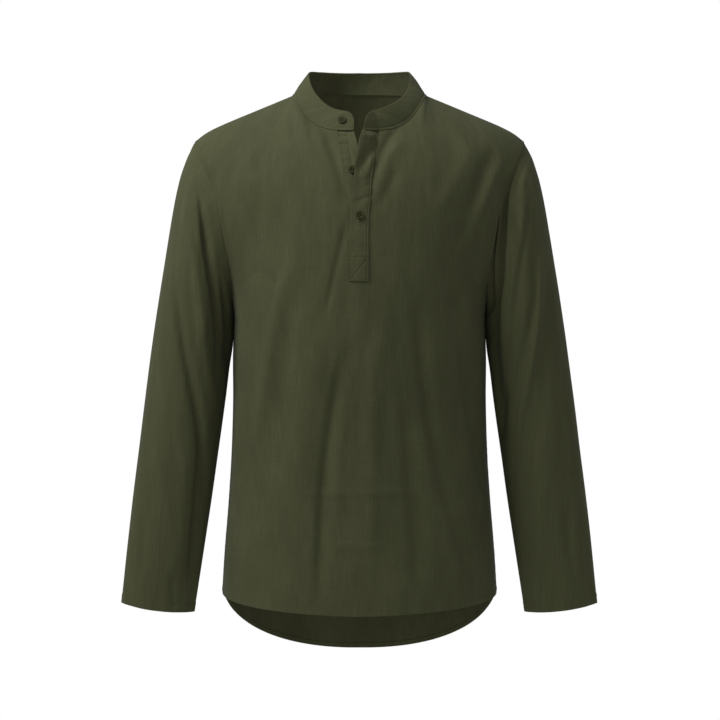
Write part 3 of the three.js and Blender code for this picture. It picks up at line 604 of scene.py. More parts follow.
def wall(name, outer, material, thickness=SHIRTING, facing=1, keep=None, ring=False):
    """A closed shell: a grid of outer points, the same grid moved inwards along its normals, and a rim of
    faces wherever a kept cell has no kept neighbour."""
    inner = outer - grid_normals(outer, facing, ring) * np.asarray(thickness)[..., None]
    at = np.arange(outer.shape[0] * outer.shape[1]).reshape(outer.shape[:2])
    uv = cloth_uv(np.concatenate([outer, outer[:, :1]], axis=1) if ring else outer)
    cells = grid_cells(np.concatenate([at, at[:, :1]], axis=1) if ring else at)
    uv_cells = grid_cells(uv)
    kept = np.ones(cells[0].shape, bool) if keep is None else keep
    beyond = np.pad(kept, 1)
    if ring:
        beyond[1:-1, 0], beyond[1:-1, -1] = kept[:, -1], kept[:, 0]
    neighbours = [beyond[:-2, 1:-1], beyond[1:-1, 2:], beyond[2:, 1:-1], beyond[1:-1, :-2]]
    behind = at.size
    faces = [np.stack(cells, -1)[kept], np.stack(cells[::-1], -1)[kept] + behind]
    corner_uv = [np.stack(uv_cells, -2)[kept], np.stack(uv_cells[::-1], -2)[kept]]
    for k, beside in enumerate(neighbours):
        p, q, rim = cells[k], cells[(k + 1) % 4], kept & ~beside
        faces.append(np.stack([q, p, p + behind, q + behind], -1)[rim])
        uv_p, uv_q = uv_cells[k], uv_cells[(k + 1) % 4]
        corner_uv.append(np.stack([uv_q, uv_p, uv_p, uv_q], -2)[rim])
    faces, corner_uv = np.concatenate(faces), np.concatenate(corner_uv)
    if facing < 0:
        faces, corner_uv = faces[:, ::-1], corner_uv[:, ::-1]
    points = np.concatenate([outer.reshape(-1, 3), inner.reshape(-1, 3)])
    return add_piece(name, points, faces, corner_uv, material)


def stitched_edge(distance, width, along, seed):
    """Relief of an edge turned under and stitched: a low step, a groove for the thread and small puckers."""
    thread = width - 1.1
    step = 0.4 * ease((width + 0.7 - distance) / 1.4)
    groove = -0.4 * np.exp(-(((distance - thread) / 0.6) ** 2))
    pull = np.clip(1.2 * speckle(along / 60, 0 * along, seed) + 0.35, 0, 1)
    ripple = np.sin(along / 1.05 + 3 * speckle(along / 14, 0 * along, seed + 1) + distance / 3)
    pucker = 0.3 * pull * ripple * np.exp(-(((distance - thread) / 4) ** 2))
    return step + groove + pucker


# THE BODY'S PANELS


def panel_grid(side):
    """Rows and shares across for one panel: even steps, and close ones at the hem, the armholes and the
    slit."""
    level = np.concatenate(
        [0 * HEM_STEPS, np.linspace(0.03, 1, BODY_ROWS), np.linspace(1, 2, YOKE_ROWS + 1)[1:]]
    )
    level = level[:, None]
    if side == "front":
        z = middle_height(level)
        starts = [
            -across_at(strip_edge(z, "slit_left"), level), across_at(strip_edge(z, "slit_right"), level)
        ]
    else:
        starts = [np.zeros_like(level)] * 2
    near = plain_panel(side, np.ones_like(level), level)
    near = near - plain_panel(side, 0.97 * np.ones_like(level), level)
    edge = 1 - EDGE_STEPS[::-1] * 0.03 / np.linalg.norm(near, axis=-1)
    halves = []
    for start in starts:
        corner = lerp(start, 1, (NECK_SHARE - start[-1]) / (1 - start[-1]))
        inner = lerp(start, corner, np.linspace(0, 1, 39)[:-1])
        outer = lerp(corner, edge[:, :1], np.linspace(0, 1, 41)[:-1])
        halves.append(np.concatenate([inner, outer, edge], axis=1))
    middle = lerp(-halves[0][:, :1], halves[1][:, :1], np.linspace(0, 1, 9 if side == "front" else 3)[1:-1])
    if side == "back":
        middle, halves[1] = middle[:, :0], halves[1][:, 1:]
    across = np.concatenate([-halves[0][:, ::-1], middle, halves[1]], axis=1)
    share = np.abs(across)
    row = np.broadcast_to(level, across.shape).copy()
    hems = len(HEM_STEPS)
    row[:hems] = HEM_STEPS[:, None] / (chest_height(share[:hems]) - hem_height(side, share[:hems]))
    first = halves[0].shape[1]
    face_column = np.arange(across.shape[1] - 1)
    slit = (face_column >= first - 1) & (face_column < first + middle.shape[1])
    open_rows = middle_height(level)[:-1, 0] > SLIT_END
    return across, row, ~(open_rows[:, None] & slit[None]) if side == "front" else None


def body_panel(side, width=6.2, hem=7.5):
    """The front or back, with its felled armhole and side seams and its narrow curved hem."""
    across, row, keep = panel_grid(side)
    points = panel(side, across, row)
    out = grid_normals(points, PANEL_FACING[side])
    uv = cloth_uv(points)
    scale = np.linalg.norm(points[:, -1] - points[:, -12], axis=-1) / (across[:, -1] - across[:, -12])
    from_seam = (1 - np.abs(across)) * scale[:, None]
    from_hem = uv[..., 1] - uv[:1, :, 1]
    turned = np.sign(across) * uv[..., 1] + 2000
    relief = stitched_edge(from_seam, width, turned, 31) * (side == "front")
    relief = relief + 0.45 * np.exp(-(((from_seam - 1.3) / 0.9) ** 2))
    relief = relief - 0.3 * np.exp(-((from_seam / 0.6) ** 2))
    relief = relief * ease((2 - row) / 0.02)
    hemmed = np.maximum(relief, 0) + stitched_edge(from_hem, hem, uv[..., 0] + 2000, 41)
    relief = np.where(from_hem < 11, hemmed, relief)
    relief = relief - 0.35 * np.exp(-(((2 - row) * 170 / 1.2) ** 2))
    points = points + out * relief[..., None]
    in_band = np.abs(across[-1]) <= NECK_SHARE
    degrees = across[-1, in_band] / NECK_SHARE * 90
    degrees = degrees if side == "front" else 180 - degrees
    radial = vec(np.sin(np.radians(degrees)), -np.cos(np.radians(degrees)), 0)
    points[-1, in_band] = plain_band(degrees, 0.05) - radial * 1.2
    thickness = SHIRTING + 0.7 * ease((hem - from_hem) / 1.5)
    return points, wall(side + "_panel", points, linen, thickness, PANEL_FACING[side], keep)


# SLEEVES


def sleeve_tube(arm, hem=13):
    """A tube from the armhole to a plain turned end, with its seam under the arm."""
    angle = np.linspace(-180, 180, 2 * YOKE_ROWS + 1)[:-1][None]
    head, cuff = HEAD_STEPS / 200, 1 - CUFF_STEPS[::-1] / 780
    share = np.concatenate([head, np.linspace(head[-1], cuff[0], SLEEVE_ROWS)[1:-1], cuff])[:, None]
    points = sleeve(arm, angle, share)
    out = grid_normals(points, 1, ring=True)
    uv = cloth_uv(points)
    up = uv[..., 1] - uv[:1, :, 1]
    from_end = up[-1:] - up
    from_seam = np.abs(np.abs(angle) - 180) * 0.9
    relief = -0.35 * np.exp(-((up / 0.9) ** 2)) - 0.4 * np.exp(-((from_seam / 1.2) ** 2))
    relief = relief + stitched_edge(from_end, hem, uv[..., 0] + 2000, 51 + arm) * (from_end < hem + 4)
    points = (points + out * relief[..., None]) * np.array([arm, 1, 1])
    name = "left_sleeve" if arm > 0 else "right_sleeve"
    thickness = np.broadcast_to(SHIRTING + 0.7 * ease((hem - from_end) / 1.5), points.shape[:2])
    return points, wall(name, points, linen, thickness, arm, ring=True)


# COLLAR BAND


BAND_HOLE = dict(degrees=15.5, share=0.52, length=12)


def collar_band():
    """The standing band, with a light edge stitch, small puckers above its seam and a cut buttonhole."""
    near_start = BAND_ENDS["start"] + 9 * np.linspace(0, 1, 14)[:-1] ** 1.6
    near_end = BAND_ENDS["end"] - 9 * np.linspace(0, 1, 14)[:-1][::-1] ** 1.6
    middle = np.linspace(BAND_ENDS["start"] + 9, BAND_ENDS["end"] - 9, 290)
    degrees = np.concatenate([near_start, middle, near_end])[None]
    share = [[0, 0.02, 0.045, 0.07, 0.09, 0.11], np.linspace(0.14, 0.93, 24), [0.965, 0.985, 1]]
    share = np.concatenate(share)[:, None]
    points = plain_band(degrees, share)
    out = grid_normals(points)
    uv = cloth_uv(points)
    u, v = uv[..., 0], uv[..., 1] - uv[:1, :, 1]
    tall = v[-1:]
    relief = 0.3 * speckle(u / 11, v / 16, 61) + 0.16 * speckle(u / 4.5, v / 9, 62)
    relief = relief * ease(v / 6) + 0.9 * np.exp(-((v / 2.2) ** 2)) - 0.5 * np.exp(-(((v - 3.1) / 0.7) ** 2))
    relief = relief - 0.5 * np.exp(-(((tall - v) / 0.7) ** 2))
    points = points + out * relief[..., None]
    cells = points.shape[0] - 1, points.shape[1] - 1
    middle_share = (share[:-1] + share[1:]) / 2 * np.ones((1, cells[1]))
    hole_row = np.abs(middle_share - BAND_HOLE["share"]).argmin(axis=0)[0]
    half = BAND_HOLE["length"] / 2
    centre = np.abs(degrees[0] - BAND_HOLE["degrees"]).argmin()
    from_centre = np.abs(u[hole_row] - u[hole_row, centre])
    keep = np.ones(cells, bool)
    keep[hole_row] = ~((from_centre[:-1] < half) & (from_centre[1:] < half))
    return points, wall("collar_band_cloth", points, linen, BAND_CLOTH, keep=keep)


# PLACKET STRIPS


STRIP_RISE = 1.5  # the upper strip's outer face over the front
SEWN_LINE = 3.3  # from its sewn edge to its stitching
BOX = dict(bottom=-258.5, top=-227)
STRIP_HOLE = dict(x=4.6, z=-106, length=12)
LOW_HOLE = dict(x=0.6, z=-176, length=12)


def line_groove(x, z, x0, z0, x1, z1, width=0.55):
    """A bell-shaped groove, 1 deep, along a straight line of the strip."""
    dx, dz = x1 - x0, z1 - z0
    length = np.hypot(dx, dz)
    along = ((x - x0) * dx + (z - z0) * dz) / length
    off = ((x - x0) * dz - (z - z0) * dx) / length
    return np.exp(-((off / width) ** 2)) * ((along > -0.5) & (along < length + 0.5))


def upper_strip_sizes(z):
    """x of the strip's free and sewn edges, and of its edge stitching, at heights of the middle line."""
    return strip_edge(z, "upper_left"), strip_edge(z, "slit_right") + 1


def upper_strip_height(x, z):
    """How far the upper strip's face stands off the front: flat where it is sewn, lifted towards the neck
    at its free edge, with a twist below the collar and grooves along the stitching of its edges and its
    box."""
    free, sewn = upper_strip_sizes(z)
    in_box = ease((BOX["top"] + 1 - z) / 3)
    height = STRIP_RISE + flap_lift(x, z) + fold_height(UPPER_STRIP_FOLDS, x, z)
    height = height - 1.6 * ease((x - sewn + 1.9) / 1.9) + 0.5 * np.exp(-(((sewn - 2.2 - x) / 0.9) ** 2))
    ripple = 0.35 * speckle(x / 7 + 9, z / 9, 71) + 0.25 * np.sin(z / 2.6 + x / 9) * ease((x - free) / 6) * (
        np.clip(speckle(z / 30, x / 40, 72), 0, 1)
    )
    height = height + ripple * (1 - in_box)
    inside = 1.6
    grooves = line_groove(x, z, free + inside, BOX["bottom"] + 1.5, free + inside, BOX["top"])
    grooves = np.maximum(grooves, line_groove(x, z, -14, BOX["top"], 13, BOX["top"], 0.7))
    grooves = np.maximum(grooves, line_groove(x, z, -14, BOX["bottom"] + 1.6, 13, BOX["bottom"] + 1.6))
    grooves = np.maximum(grooves, line_groove(x, z, -12.8, BOX["bottom"] + 1.6, 11.8, BOX["top"]))
    grooves = np.maximum(grooves, np.exp(-(((sewn - SEWN_LINE - x) / 0.7) ** 2)))
    return height - 0.7 * grooves - 0.3 * np.exp(-(((x - free) / 0.5) ** 2))


def upper_strip():
    z = np.linspace(BOX["bottom"], middle_height(np.array(2.0)), 170)[:, None]
    share = np.concatenate([[0, 0.015, 0.035], np.linspace(0.06, 0.84, 36), np.linspace(0.855, 1, 14)])[None]
    free, sewn = upper_strip_sizes(z)
    x = lerp(free, sewn, share)
    row = row_at(z)
    points = over_front(x, row, upper_strip_height(x, z))
    keep = np.ones((x.shape[0] - 1, x.shape[1] - 1), bool)
    mid_z = (z[:-1, 0] + z[1:, 0]) / 2
    for hole in (STRIP_HOLE, LOW_HOLE):
        rows = np.abs(mid_z - hole["z"]) < hole["length"] / 2
        column = np.abs(x[np.abs(z[:, 0] - hole["z"]).argmin()] - hole["x"]).argmin()
        keep[rows, column] = False
    return points, wall("upper_strip", points, linen, STRIP_CLOTH, keep=keep)


def under_strip():
    """Flush with the front along its seam, with a pressed crease towards its free edge, which turns up a
    little."""
    z = np.linspace(SLIT_END - 6, middle_height(np.array(2.0)), 150)[:, None]
    sewn, free = strip_edge(z, "slit_left"), strip_edge(z, "under_right")
    share = np.concatenate([[0, 0.015, 0.035], np.linspace(0.06, 0.94, 30), [0.965, 0.985, 1]])[None]
    x = lerp(sewn - 1.6, free, share)
    crease = lerp(-7.5, -16.5, ease((z + 125) / 75))
    open_part = ease((z + 150) / 40)
    height = -0.5 + 0.11 * np.clip(x - crease, 0, None) * open_part
    pucker = 0.4 * np.sin((z + 0.25 * x) / 1.9) * ease((x - sewn - 1) / 3) * ease((crease + 2 - x) / 4)
    height = height + pucker * np.clip(1.2 * speckle(z / 16, 0 * x, 81) + 0.5, 0, 1) * open_part
    height = height + fold_height(UNDER_STRIP_FOLDS, x, z)
    height = height - 0.5 * np.exp(-(((x - crease) / 0.8) ** 2)) * open_part + 0.2 * speckle(x / 6, z / 9, 82)
    height = height + 0.55 * np.exp(-(((x - sewn - 0.9) / 0.9) ** 2)) - 0.4 * ease((sewn - x) / 0.5)
    points = over_front(x, row_at(z), height)
    return points, wall("under_strip", points, linen, STRIP_CLOTH)


# SEWING


def stitches(paths, name, stitch=2.2, gap=0.8, width=0.24, lift=0.12):
    """Rows of stitches: each a small bar of thread, thickest in its middle, whose ends dip into the cloth.
    A path is a pair of arrays, its points and the directions out of the cloth."""
    rings = np.array([-0.5, -0.34, 0, 0.34, 0.5])
    fat, high = np.array([0.45, 0.9, 1, 0.9, 0.45]), np.array([-0.25, 0.05, 0.15, 0.05, -0.25])
    section = np.array([(-1, -0.7), (1, -0.7), (1, 0.7), (-1, 0.7)]) * width
    all_points, all_faces, count = [], [], 0
    for path, out in paths:
        length = np.concatenate([[0], np.cumsum(np.linalg.norm(np.diff(path, axis=0), axis=1))])
        middle = (np.arange(int(length[-1] // (stitch + gap))) + 0.5) * (stitch + gap)

        def at(s, values):
            return np.stack([np.interp(s, length, values[:, k]) for k in range(3)], axis=-1)

        centre = at(middle[:, None] + rings * stitch, path)
        up = unit(at(middle, out))[:, None]
        tangent = unit(at(middle + 0.6, path) - at(middle - 0.6, path))[:, None]
        side = unit(np.cross(up, tangent))
        centre = centre + up * (lift + high)[None, :, None]
        bars = centre[:, :, None] + fat[None, :, None, None] * (
            side[:, :, None] * section[None, None, :, :1] + up[:, :, None] * section[None, None, :, 1:]
        )
        at_ring = np.arange(20).reshape(5, 4)
        turned = np.roll(at_ring, -1, axis=1)
        bar = np.concatenate(
            [
                np.stack([at_ring[:-1], turned[:-1], turned[1:], at_ring[1:]], -1).reshape(-1, 4),
                at_ring[:1, ::-1],
                at_ring[-1:],
            ]
        )
        all_points.append(bars.reshape(-1, 3))
        all_faces.append((bar[None] + count + 20 * np.arange(len(middle))[:, None, None]).reshape(-1, 4))
        count += bars.size // 3
    points, faces = np.concatenate(all_points), np.concatenate(all_faces)
    uv = np.zeros((len(faces), 4, 2))
    return add_piece(name, points, faces, uv, thread)


def column_path(points, out, distance, inwards):
    """The line a given distance in from an edge column of a grid, and the directions out of the cloth
    there."""
    steps = np.linalg.norm(np.diff(points[:, :: inwards][:, :14], axis=1), axis=-1)
    reach = np.concatenate([np.zeros((len(points), 1)), np.cumsum(steps, axis=1)], axis=1)
    line, normals = points[:, ::inwards][:, :14], out[:, ::inwards][:, :14]
    k = np.clip((reach < distance).sum(axis=1), 1, 13)
    rows = np.arange(len(points))
    t = ((distance - reach[rows, k - 1]) / (reach[rows, k] - reach[rows, k - 1]))[:, None]
    return lerp(line[rows, k - 1], line[rows, k], t), normals[rows, k]


def upper_strip_line(x0, z0, x1, z1):
    """A straight line of the upper strip, on its face, and the directions out of the front there."""
    t = np.linspace(0, 1, 60)
    x, z = lerp(x0, x1, t), lerp(z0, z1, t)
    row = row_at(z)
    return over_front(x, row, upper_strip_height(x, z)), panel_out("front", across_at(x, row), row)


# BUTTONS AND BUTTONHOLES

BUTTON = dict(radius=5.5, thick=2.4, rim=1.1, dish=0.7, clear=0.35)
BUTTON_HOLES = dict(radius=0.95, at=1.4)


def frame_at(out):
    """Two directions across a face and the one out of it, as rows, with the second as upright as it can
    be."""
    side = unit(np.cross(np.array([0, 0, 1.0]), out))
    return np.stack([side, unit(np.cross(out, side)), out])


def button(name, centre, out, turn):
    """A disc turned from a profile, with a rounded rim, a dished face and four wells sunk through the
    face."""
    face = BUTTON["thick"] - BUTTON["dish"]
    around = np.linspace(0, 2 * np.pi, 97)[None]
    profile = np.array(
        [(0, 0), (2.4, 0), (4.6, 0), (5.2, 0.25), (5.5, 0.8), (5.5, 1.5),
         (5.36, 1.95), (5.1, 2.25), (4.85, 2.36),
         (4.6, 2.36), (4.4, 2.28), (4.15, 2.05), (3.9, 1.84), (3.65, 1.73), (3.4, face)]
    )
    inner = np.linspace(3.3, 0, 34)
    r = np.concatenate([profile[:, 0], inner])[:, None]
    z = np.concatenate([profile[:, 1], face + 0 * inner])[:, None] + 0 * around
    x, y = r * np.cos(around), r * np.sin(around)
    hole = np.hypot(np.abs(x) - BUTTON_HOLES["at"], np.abs(y) - BUTTON_HOLES["at"])
    on_face = np.arange(len(r))[:, None] >= len(profile) - 1
    z = z - on_face * 1.5 * ease((BUTTON_HOLES["radius"] + 0.08 - hole) / 0.22)
    angle = np.radians(turn)
    local = vec(x * np.cos(angle) - y * np.sin(angle), x * np.sin(angle) + y * np.cos(angle), z)
    axes = frame_at(out)
    points = centre + BUTTON["clear"] * out + local @ axes
    at = np.arange(r.size * 96).reshape(r.size, 96)
    at = np.concatenate([at, at[:, :1]], axis=1)
    at[0], at[-1] = at[0, 0], at[-1, 0]
    faces = np.stack(grid_cells(at), -1).reshape(-1, 4)
    uv = np.zeros((len(faces), 4, 2))
    piece = add_piece(name, points[:, :-1].reshape(-1, 3), faces, uv, resin)
    return piece, axes, points[-1, 0]


def button_thread(name, centre, axes, turn):
    """Two loops of thread between the wells of a button, arched over its face."""
    bars = []
    for side in (-1, 1):
        for strand in (-0.28, 0, 0.28):
            t = np.linspace(0, 1, 15)
            arch = np.sin(t * np.pi) ** 0.5 * 0.5 - 0.6 * (np.abs(t - 0.5) > 0.46)
            x = side * BUTTON_HOLES["at"] + strand + 0 * t
            y = lerp(-BUTTON_HOLES["at"], BUTTON_HOLES["at"], t) * 1.1
            angle = np.radians(turn)
            local = vec(x * np.cos(angle) - y * np.sin(angle), x * np.sin(angle) + y * np.cos(angle), arch)
            bars.append(centre + local @ axes)
    return tube_piece(name, np.array(bars), 0.17, button_twist)


def tube_piece(name, paths, radius, material, sides=6):
    """Tubes of one thickness along open paths, closed at both ends by a narrow face."""
    along = unit(np.gradient(paths, axis=1))
    first = unit(np.cross(along, np.array([0.3, 0.2, 1.0])))
    second = np.cross(along, first)
    turn = np.linspace(0, 2 * np.pi, sides + 1)[:-1]
    fat = np.ones(paths.shape[1])
    fat[[0, -1]] = 0.3
    section = (
        first[:, :, None] * np.cos(turn)[:, None] + second[:, :, None] * np.sin(turn)[:, None]
    ) * (radius * fat)[None, :, None, None]
    points = paths[:, :, None] + section
    count = paths.shape[1]
    at = np.arange(count * sides).reshape(count, sides)
    at = np.concatenate([at, at[:, :1]], axis=1)
    one = np.stack(grid_cells(at), -1).reshape(-1, 4)
    caps = np.array([[at[0, k] for k in (5, 4, 1, 0)], [at[0, k] for k in (4, 3, 2, 1)],
                     [at[-1, k] for k in (0, 1, 4, 5)], [at[-1, k] for k in (1, 2, 3, 4)]])
    one = np.concatenate([one[:, ::-1], caps[:, ::-1]])
    faces = (one[None] + count * sides * np.arange(len(paths))[:, None, None]).reshape(-1, 4)
    return add_piece(name, points.reshape(-1, 3), faces, np.zeros((len(faces), 4, 2)), material)


def buttonhole(name, path, out):
    """A closed ring of buttonhole stitch: a round section carried along the ring, thick and thin by turns."""
    along = unit(np.roll(path, -1, axis=0) - np.roll(path, 1, axis=0))
    side = unit(np.cross(out, along))
    turn = np.linspace(0, 2 * np.pi, 9)[:-1]
    stitch = 0.55 + 0.1 * np.sin(np.arange(len(path)) * np.pi / 1.5)
    section = side[:, None] * np.cos(turn)[:, None] + out[:, None] * 0.62 * np.sin(turn)[:, None]
    points = path[:, None] + section * stitch[:, None, None]
    at = np.arange(len(path) * 8).reshape(len(path), 8)
    at = np.concatenate([at, at[:, :1]], axis=1)
    at = np.concatenate([at, at[:1]], axis=0)
    faces = np.stack(grid_cells(at), -1).reshape(-1, 4)[:, ::-1]
    return add_piece(name, points.reshape(-1, 3), faces, np.zeros((len(faces), 4, 2)), thread)


def oval(length, width, count=160):
    """A long oval about the origin: x across it and y along it."""
    t = np.linspace(0, 2 * np.pi, count + 1)[:-1]
    squarish = np.abs(np.cos(t)) ** 0.7 * np.sign(np.cos(t))
    return squarish * width / 2, np.sin(t) * length / 2


# MATERIALS


def colour(code):
    """An sRGB hex value as linear red, green, blue and alpha."""
    srgb = np.array([int(code[k : k + 2], 16) / 255 for k in (0, 2, 4)])
    return (*np.where(srgb <= 0.04045, srgb / 12.92, ((srgb + 0.055) / 1.055) ** 2.4), 1)


def add_node(tree, kind, links=None, values=None, **settings):
    """Adds a node: "settings" are its own, "values" set its sockets, and "links" join them to other
    outputs."""
    new = tree.nodes.new(kind)
    for key, value in settings.items():
        setattr(new, key, value)
    for key, value in (values or {}).items():
        new.inputs[key].default_value = value
    for key, output in (links or {}).items():
        tree.links.new(output, new.inputs[key])
    return new


def woven_linen(name, base, light, dark):
    """Linen and cotton plain weave, piece dyed and garment washed: matt, with slubs along the warp that catch
    the light as fine upright streaks, shorter ones along the weft, and a dry grain where the yarns cross."""
    made = bpy.data.materials.new(name)
    made.use_nodes = True
    tree = made.node_tree
    surface = tree.nodes["Principled BSDF"]
    place = add_node(tree, "ShaderNodeUVMap", uv_map="cloth")

    def streaks(across_mm, along_mm, detail, roughness=0.6):
        scale = (1 / (across_mm * MM), 1 / (along_mm * MM), 1)
        stretched = add_node(tree, "ShaderNodeMapping", {"Vector": place.outputs["UV"]}, {"Scale": scale})
        values = {"Scale": 1, "Detail": detail, "Roughness": roughness}
        noise = add_node(tree, "ShaderNodeTexNoise", {"Vector": stretched.outputs["Vector"]}, values)
        return noise.outputs["Fac"]

    def weighted(a, b, share):
        mixed = add_node(tree, "ShaderNodeMix", {"A": a, "B": b}, {"Factor": share})
        return mixed.outputs["Result"]

    warp = streaks(2.4, 34, 3)  # slubs are about 1 mm wide; drawn at 2.4 so that they show in the render
    weft = streaks(26, 2.2, 3)
    yarns = streaks(1.1, 1.6, 2)  # the crossings of yarns 0.5 mm apart, drawn at twice that
    patches = streaks(38, 90, 2)
    weave = weighted(weighted(warp, weft, 0.3), yarns, 0.42)
    tone = weighted(weave, patches, 0.3)
    crinkle = streaks(10, 4.5, 2)  # short ripples across the warp, from washing
    ramp = add_node(tree, "ShaderNodeValToRGB", {"Fac": tone})
    ramp.color_ramp.elements[0].position = 0.5 - 0.22
    ramp.color_ramp.elements[1].position = 0.5 + 0.22
    ramp.color_ramp.elements[0].color = colour(dark)
    ramp.color_ramp.elements[1].color = colour(light)
    middle = ramp.color_ramp.elements.new(0.5)
    middle.color = colour(base)
    tree.links.new(ramp.outputs["Color"], surface.inputs["Base Color"])
    values = {"Strength": 0.65, "Distance": 0.9 * MM}
    bump = add_node(tree, "ShaderNodeBump", {"Height": weighted(weave, crinkle, 0.4)}, values)
    tree.links.new(bump.outputs["Normal"], surface.inputs["Normal"])
    surface.inputs["Roughness"].default_value = 0.9
    surface.inputs["Specular IOR Level"].default_value = 0.15
    surface.inputs["Sheen Weight"].default_value = 0.03
    surface.inputs["Sheen Roughness"].default_value = 0.5
    return made


def moulded_resin(name):
    """Polyester button resin, cast and tumbled: dark olive brown, faintly clouded, with a soft gloss."""
    made = bpy.data.materials.new(name)
    made.use_nodes = True
    tree = made.node_tree
    surface = tree.nodes["Principled BSDF"]
    place = add_node(tree, "ShaderNodeTexCoord")
    values = {"Scale": 1 / (2.5 * MM), "Detail": 2, "Distortion": 1.2}
    clouds = add_node(tree, "ShaderNodeTexNoise", {"Vector": place.outputs["Object"]}, values)
    ramp = add_node(tree, "ShaderNodeValToRGB", {"Fac": clouds.outputs["Fac"]})
    ramp.color_ramp.elements[0].position, ramp.color_ramp.elements[1].position = 0.3, 0.7
    ramp.color_ramp.elements[0].color = colour("2B2D18")
    ramp.color_ramp.elements[1].color = colour("393B22")
    tree.links.new(ramp.outputs["Color"], surface.inputs["Base Color"])
    surface.inputs["Roughness"].default_value = 0.6
    surface.inputs["Specular IOR Level"].default_value = 0.1
    return made


linen = woven_linen("woven_linen_cotton_garment_washed", "43452E", "4F5138", "383A25")
thread = woven_linen("spun_polyester_thread", "4B4E34", "54573B", "424529")
button_twist = woven_linen("waxed_button_thread", "1E2010", "282A18", "151609")
resin = moulded_resin("cast_resin_tumbled")


# THE SHIRT


def place_on_front(x, z, distance):
    row = row_at(np.array(z, float))
    x = np.array(x, float)
    return over_front(x, row, distance), panel_out("front", across_at(x, row), row)


def make_shirt():
    front, front_panel = body_panel("front")
    back, back_panel = body_panel("back")
    left, left_sleeve = sleeve_tube(1)
    right, right_sleeve = sleeve_tube(-1)
    band, band_piece = collar_band()
    upper, upper_piece = upper_strip()
    under, under_piece = under_strip()
    for piece, node in (
        (front_panel, "front"),
        (back_panel, "back"),
        (left_sleeve, "sleeve_left"),
        (right_sleeve, "sleeve_right"),
        (band_piece, "collar_band"),
        (upper_piece, "placket_upper"),
        (under_piece, "placket_under"),
    ):
        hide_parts(node)

    front_out, back_out = grid_normals(front), grid_normals(back, -1)
    left_out, right_out = grid_normals(left, 1, True), grid_normals(right, -1, True)
    hem_row, cuff_row = 6, -7

    def ring(grid, row):
        """One row of a closed grid, with its first point again at its end."""
        return np.concatenate([grid[row], grid[row, :1]])

    hems = [(front[hem_row], front_out[hem_row]), (back[hem_row], back_out[hem_row])]
    for arm_grid, arm_out in ((left, left_out), (right, right_out)):
        hems.append((ring(arm_grid, cuff_row), ring(arm_out, cuff_row)))
    seams = [column_path(front, front_out, 5.1, inwards) for inwards in (1, -1)]
    sewn = [stitches(hems, "stitching_hems"), stitches(seams, "stitching_armholes")]

    z = np.linspace(BOX["bottom"] + 1.6, -52, 120)
    free, edge = upper_strip_sizes(z)
    x = edge - SEWN_LINE
    edge_line = (
        over_front(x, row_at(z), upper_strip_height(x, z)),
        panel_out("front", across_at(x, row_at(z)), row_at(z)),
    )
    bottom, top = BOX["bottom"] + 1.6, BOX["top"]
    placket = [
        edge_line,
        upper_strip_line(-12.8, bottom, -12.8, top),
        upper_strip_line(-12.8, bottom, 11.8, bottom),
        upper_strip_line(-12.8, top, 11.8, top),
        upper_strip_line(-12.8, bottom, 11.8, top),
    ]
    sewn.append(stitches(placket, "stitching_placket"))
    inside = slice(60, 262)
    band_in = grid_normals(band)
    sewn.append(
        stitches(
            [(band[4, inside] - band_in[4, inside] * BAND_CLOTH, -band_in[4, inside])],
            "stitching_band", 3, 1.8, 0.42
        )
    )

    for hole, node in ((STRIP_HOLE, "buttonhole_middle"), (LOW_HOLE, "buttonhole_lower")):
        dx, dz = oval(hole["length"] + 1.4, 2.3)
        x, z = hole["x"] + dx, hole["z"] + dz
        row = row_at(z)
        path = over_front(x, row, upper_strip_height(x, z) + 0.1)
        out = panel_out("front", across_at(x, row), row)
        sewn.append(buttonhole(node, path, out))
    dx, dz = oval(BAND_HOLE["length"] + 1.4, 2.4)
    centre = plain_band(BAND_HOLE["degrees"], BAND_HOLE["share"])
    per_degree_mm = np.linalg.norm(plain_band(BAND_HOLE["degrees"] + 1, BAND_HOLE["share"]) - centre)
    tall = np.linalg.norm(plain_band(BAND_HOLE["degrees"], 1) - plain_band(BAND_HOLE["degrees"], 0))
    degrees, share = BAND_HOLE["degrees"] + dz / per_degree_mm, BAND_HOLE["share"] + dx / tall
    limits = (BAND_ENDS["start"] / 90, BAND_ENDS["end"] / 90)
    band_out = outward(per_degree(plain_band), degrees / 90, share, limits, (0, 1))
    sewn.append(buttonhole("buttonhole_collar", plain_band(degrees, share) + band_out * 0.2, band_out))

    collar_angle, collar_share = 343.5, 0.5
    collar_out = outward(
        per_degree(plain_band), np.array(collar_angle / 90), np.array(collar_share), limits, (0, 1)
    )
    places = {
        "collar": (plain_band(collar_angle, collar_share), collar_out, 8),
        "middle": (*place_on_front(-9.5, -106, 0.0), -6),
        "lower": (*place_on_front(0.6, -170, 2.3), 20),
    }
    for name, (centre, out, turn) in places.items():
        piece, axes, face = button(name + "_button", centre, out, turn)
        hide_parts("button_" + name)
        strand = button_thread(name + "_button_thread", face, axes, turn)


# STUDIO

CAMERA = dict(away=3.5, z=-0.3633, x=0.0007, lens=125)


def aim(thing, at):
    thing.rotation_euler = (Vector(at) - thing.location).to_track_quat("-Z", "Y").to_euler()


def add_light(name, place, at, size, power):
    data = bpy.data.lights.new(name, "AREA")
    data.size, data.energy = size, power
    light = bpy.data.objects.new(name, data)
    light.location = place
    aim(light, at)
    bpy.context.scene.collection.objects.link(light)


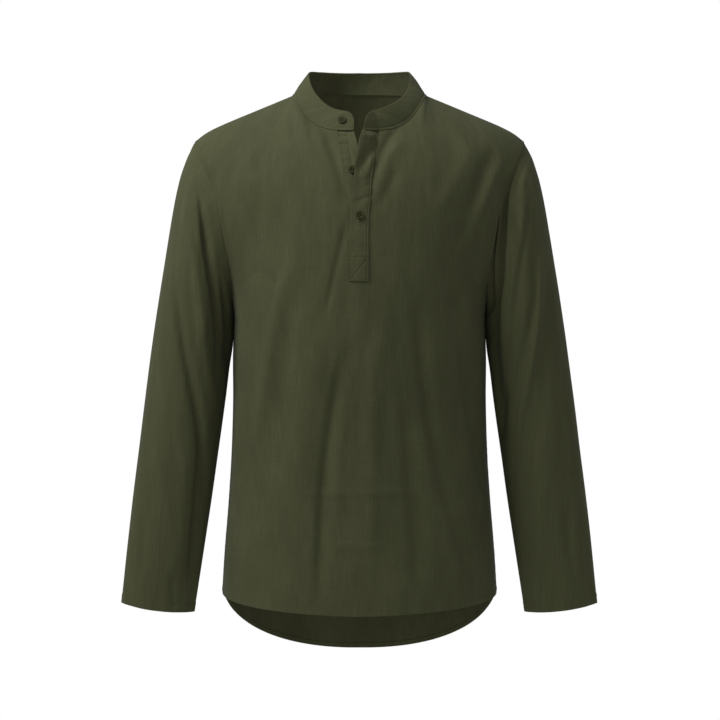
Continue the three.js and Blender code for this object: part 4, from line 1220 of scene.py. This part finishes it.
def add_inside_light(name, place, radius, power):
    data = bpy.data.lights.new(name, "POINT")
    data.shadow_soft_size, data.energy = radius, power
    light = bpy.data.objects.new(name, data)
    light.location = place
    bpy.context.scene.collection.objects.link(light)


def make_studio():
    """White all round, a large soft light from the upper left and the front, and a pale floor under it."""
    scene = bpy.context.scene
    scene.view_settings.view_transform = "Standard"
    world = bpy.data.worlds.new("white_studio")
    world.use_nodes = True
    tree = world.node_tree
    tree.nodes.clear()
    soft = add_node(tree, "ShaderNodeBackground", None, {"Color": (1, 1, 1, 1), "Strength": 0.47})
    white = add_node(tree, "ShaderNodeBackground", None, {"Color": (1, 1, 1, 1), "Strength": 1.0})
    path = add_node(tree, "ShaderNodeLightPath")
    links = {0: path.outputs["Is Camera Ray"], 1: soft.outputs[0], 2: white.outputs[0]}
    either = add_node(tree, "ShaderNodeMixShader", links)
    add_node(tree, "ShaderNodeOutputWorld", {"Surface": either.outputs[0]})
    scene.world = world
    add_light("key", (-1.25, -0.75, 1.4), (0, 0, -0.3), 0.8, 44)
    add_inside_light("glow_in_the_neck", (0, -0.02, -0.16), 0.05, 0.3)

    bpy.ops.mesh.primitive_circle_add(vertices=128, radius=2.6, fill_type="NGON", location=(0, 0, -1.45))
    floor = bpy.context.object
    floor.name = "floor"
    paper = bpy.data.materials.new("matt_white_paper")
    paper.use_nodes = True
    paper.node_tree.nodes["Principled BSDF"].inputs["Base Color"].default_value = colour("ECECEA")
    paper.node_tree.nodes["Principled BSDF"].inputs["Roughness"].default_value = 0.9
    floor.data.materials.append(paper)

    camera = bpy.data.objects.new("camera", bpy.data.cameras.new("camera"))
    camera.data.lens, camera.data.sensor_width = CAMERA["lens"], 36
    camera.data.clip_end = 50
    camera.location = (CAMERA["x"], -CAMERA["away"], CAMERA["z"])
    aim(camera, (CAMERA["x"], 0, CAMERA["z"]))
    scene.collection.objects.link(camera)
    scene.camera = camera


for left_over in list(bpy.context.scene.objects):
    if left_over.name in ("Cube", "Light", "Camera"):
        bpy.data.objects.remove(left_over)
make_studio()
make_shirt()
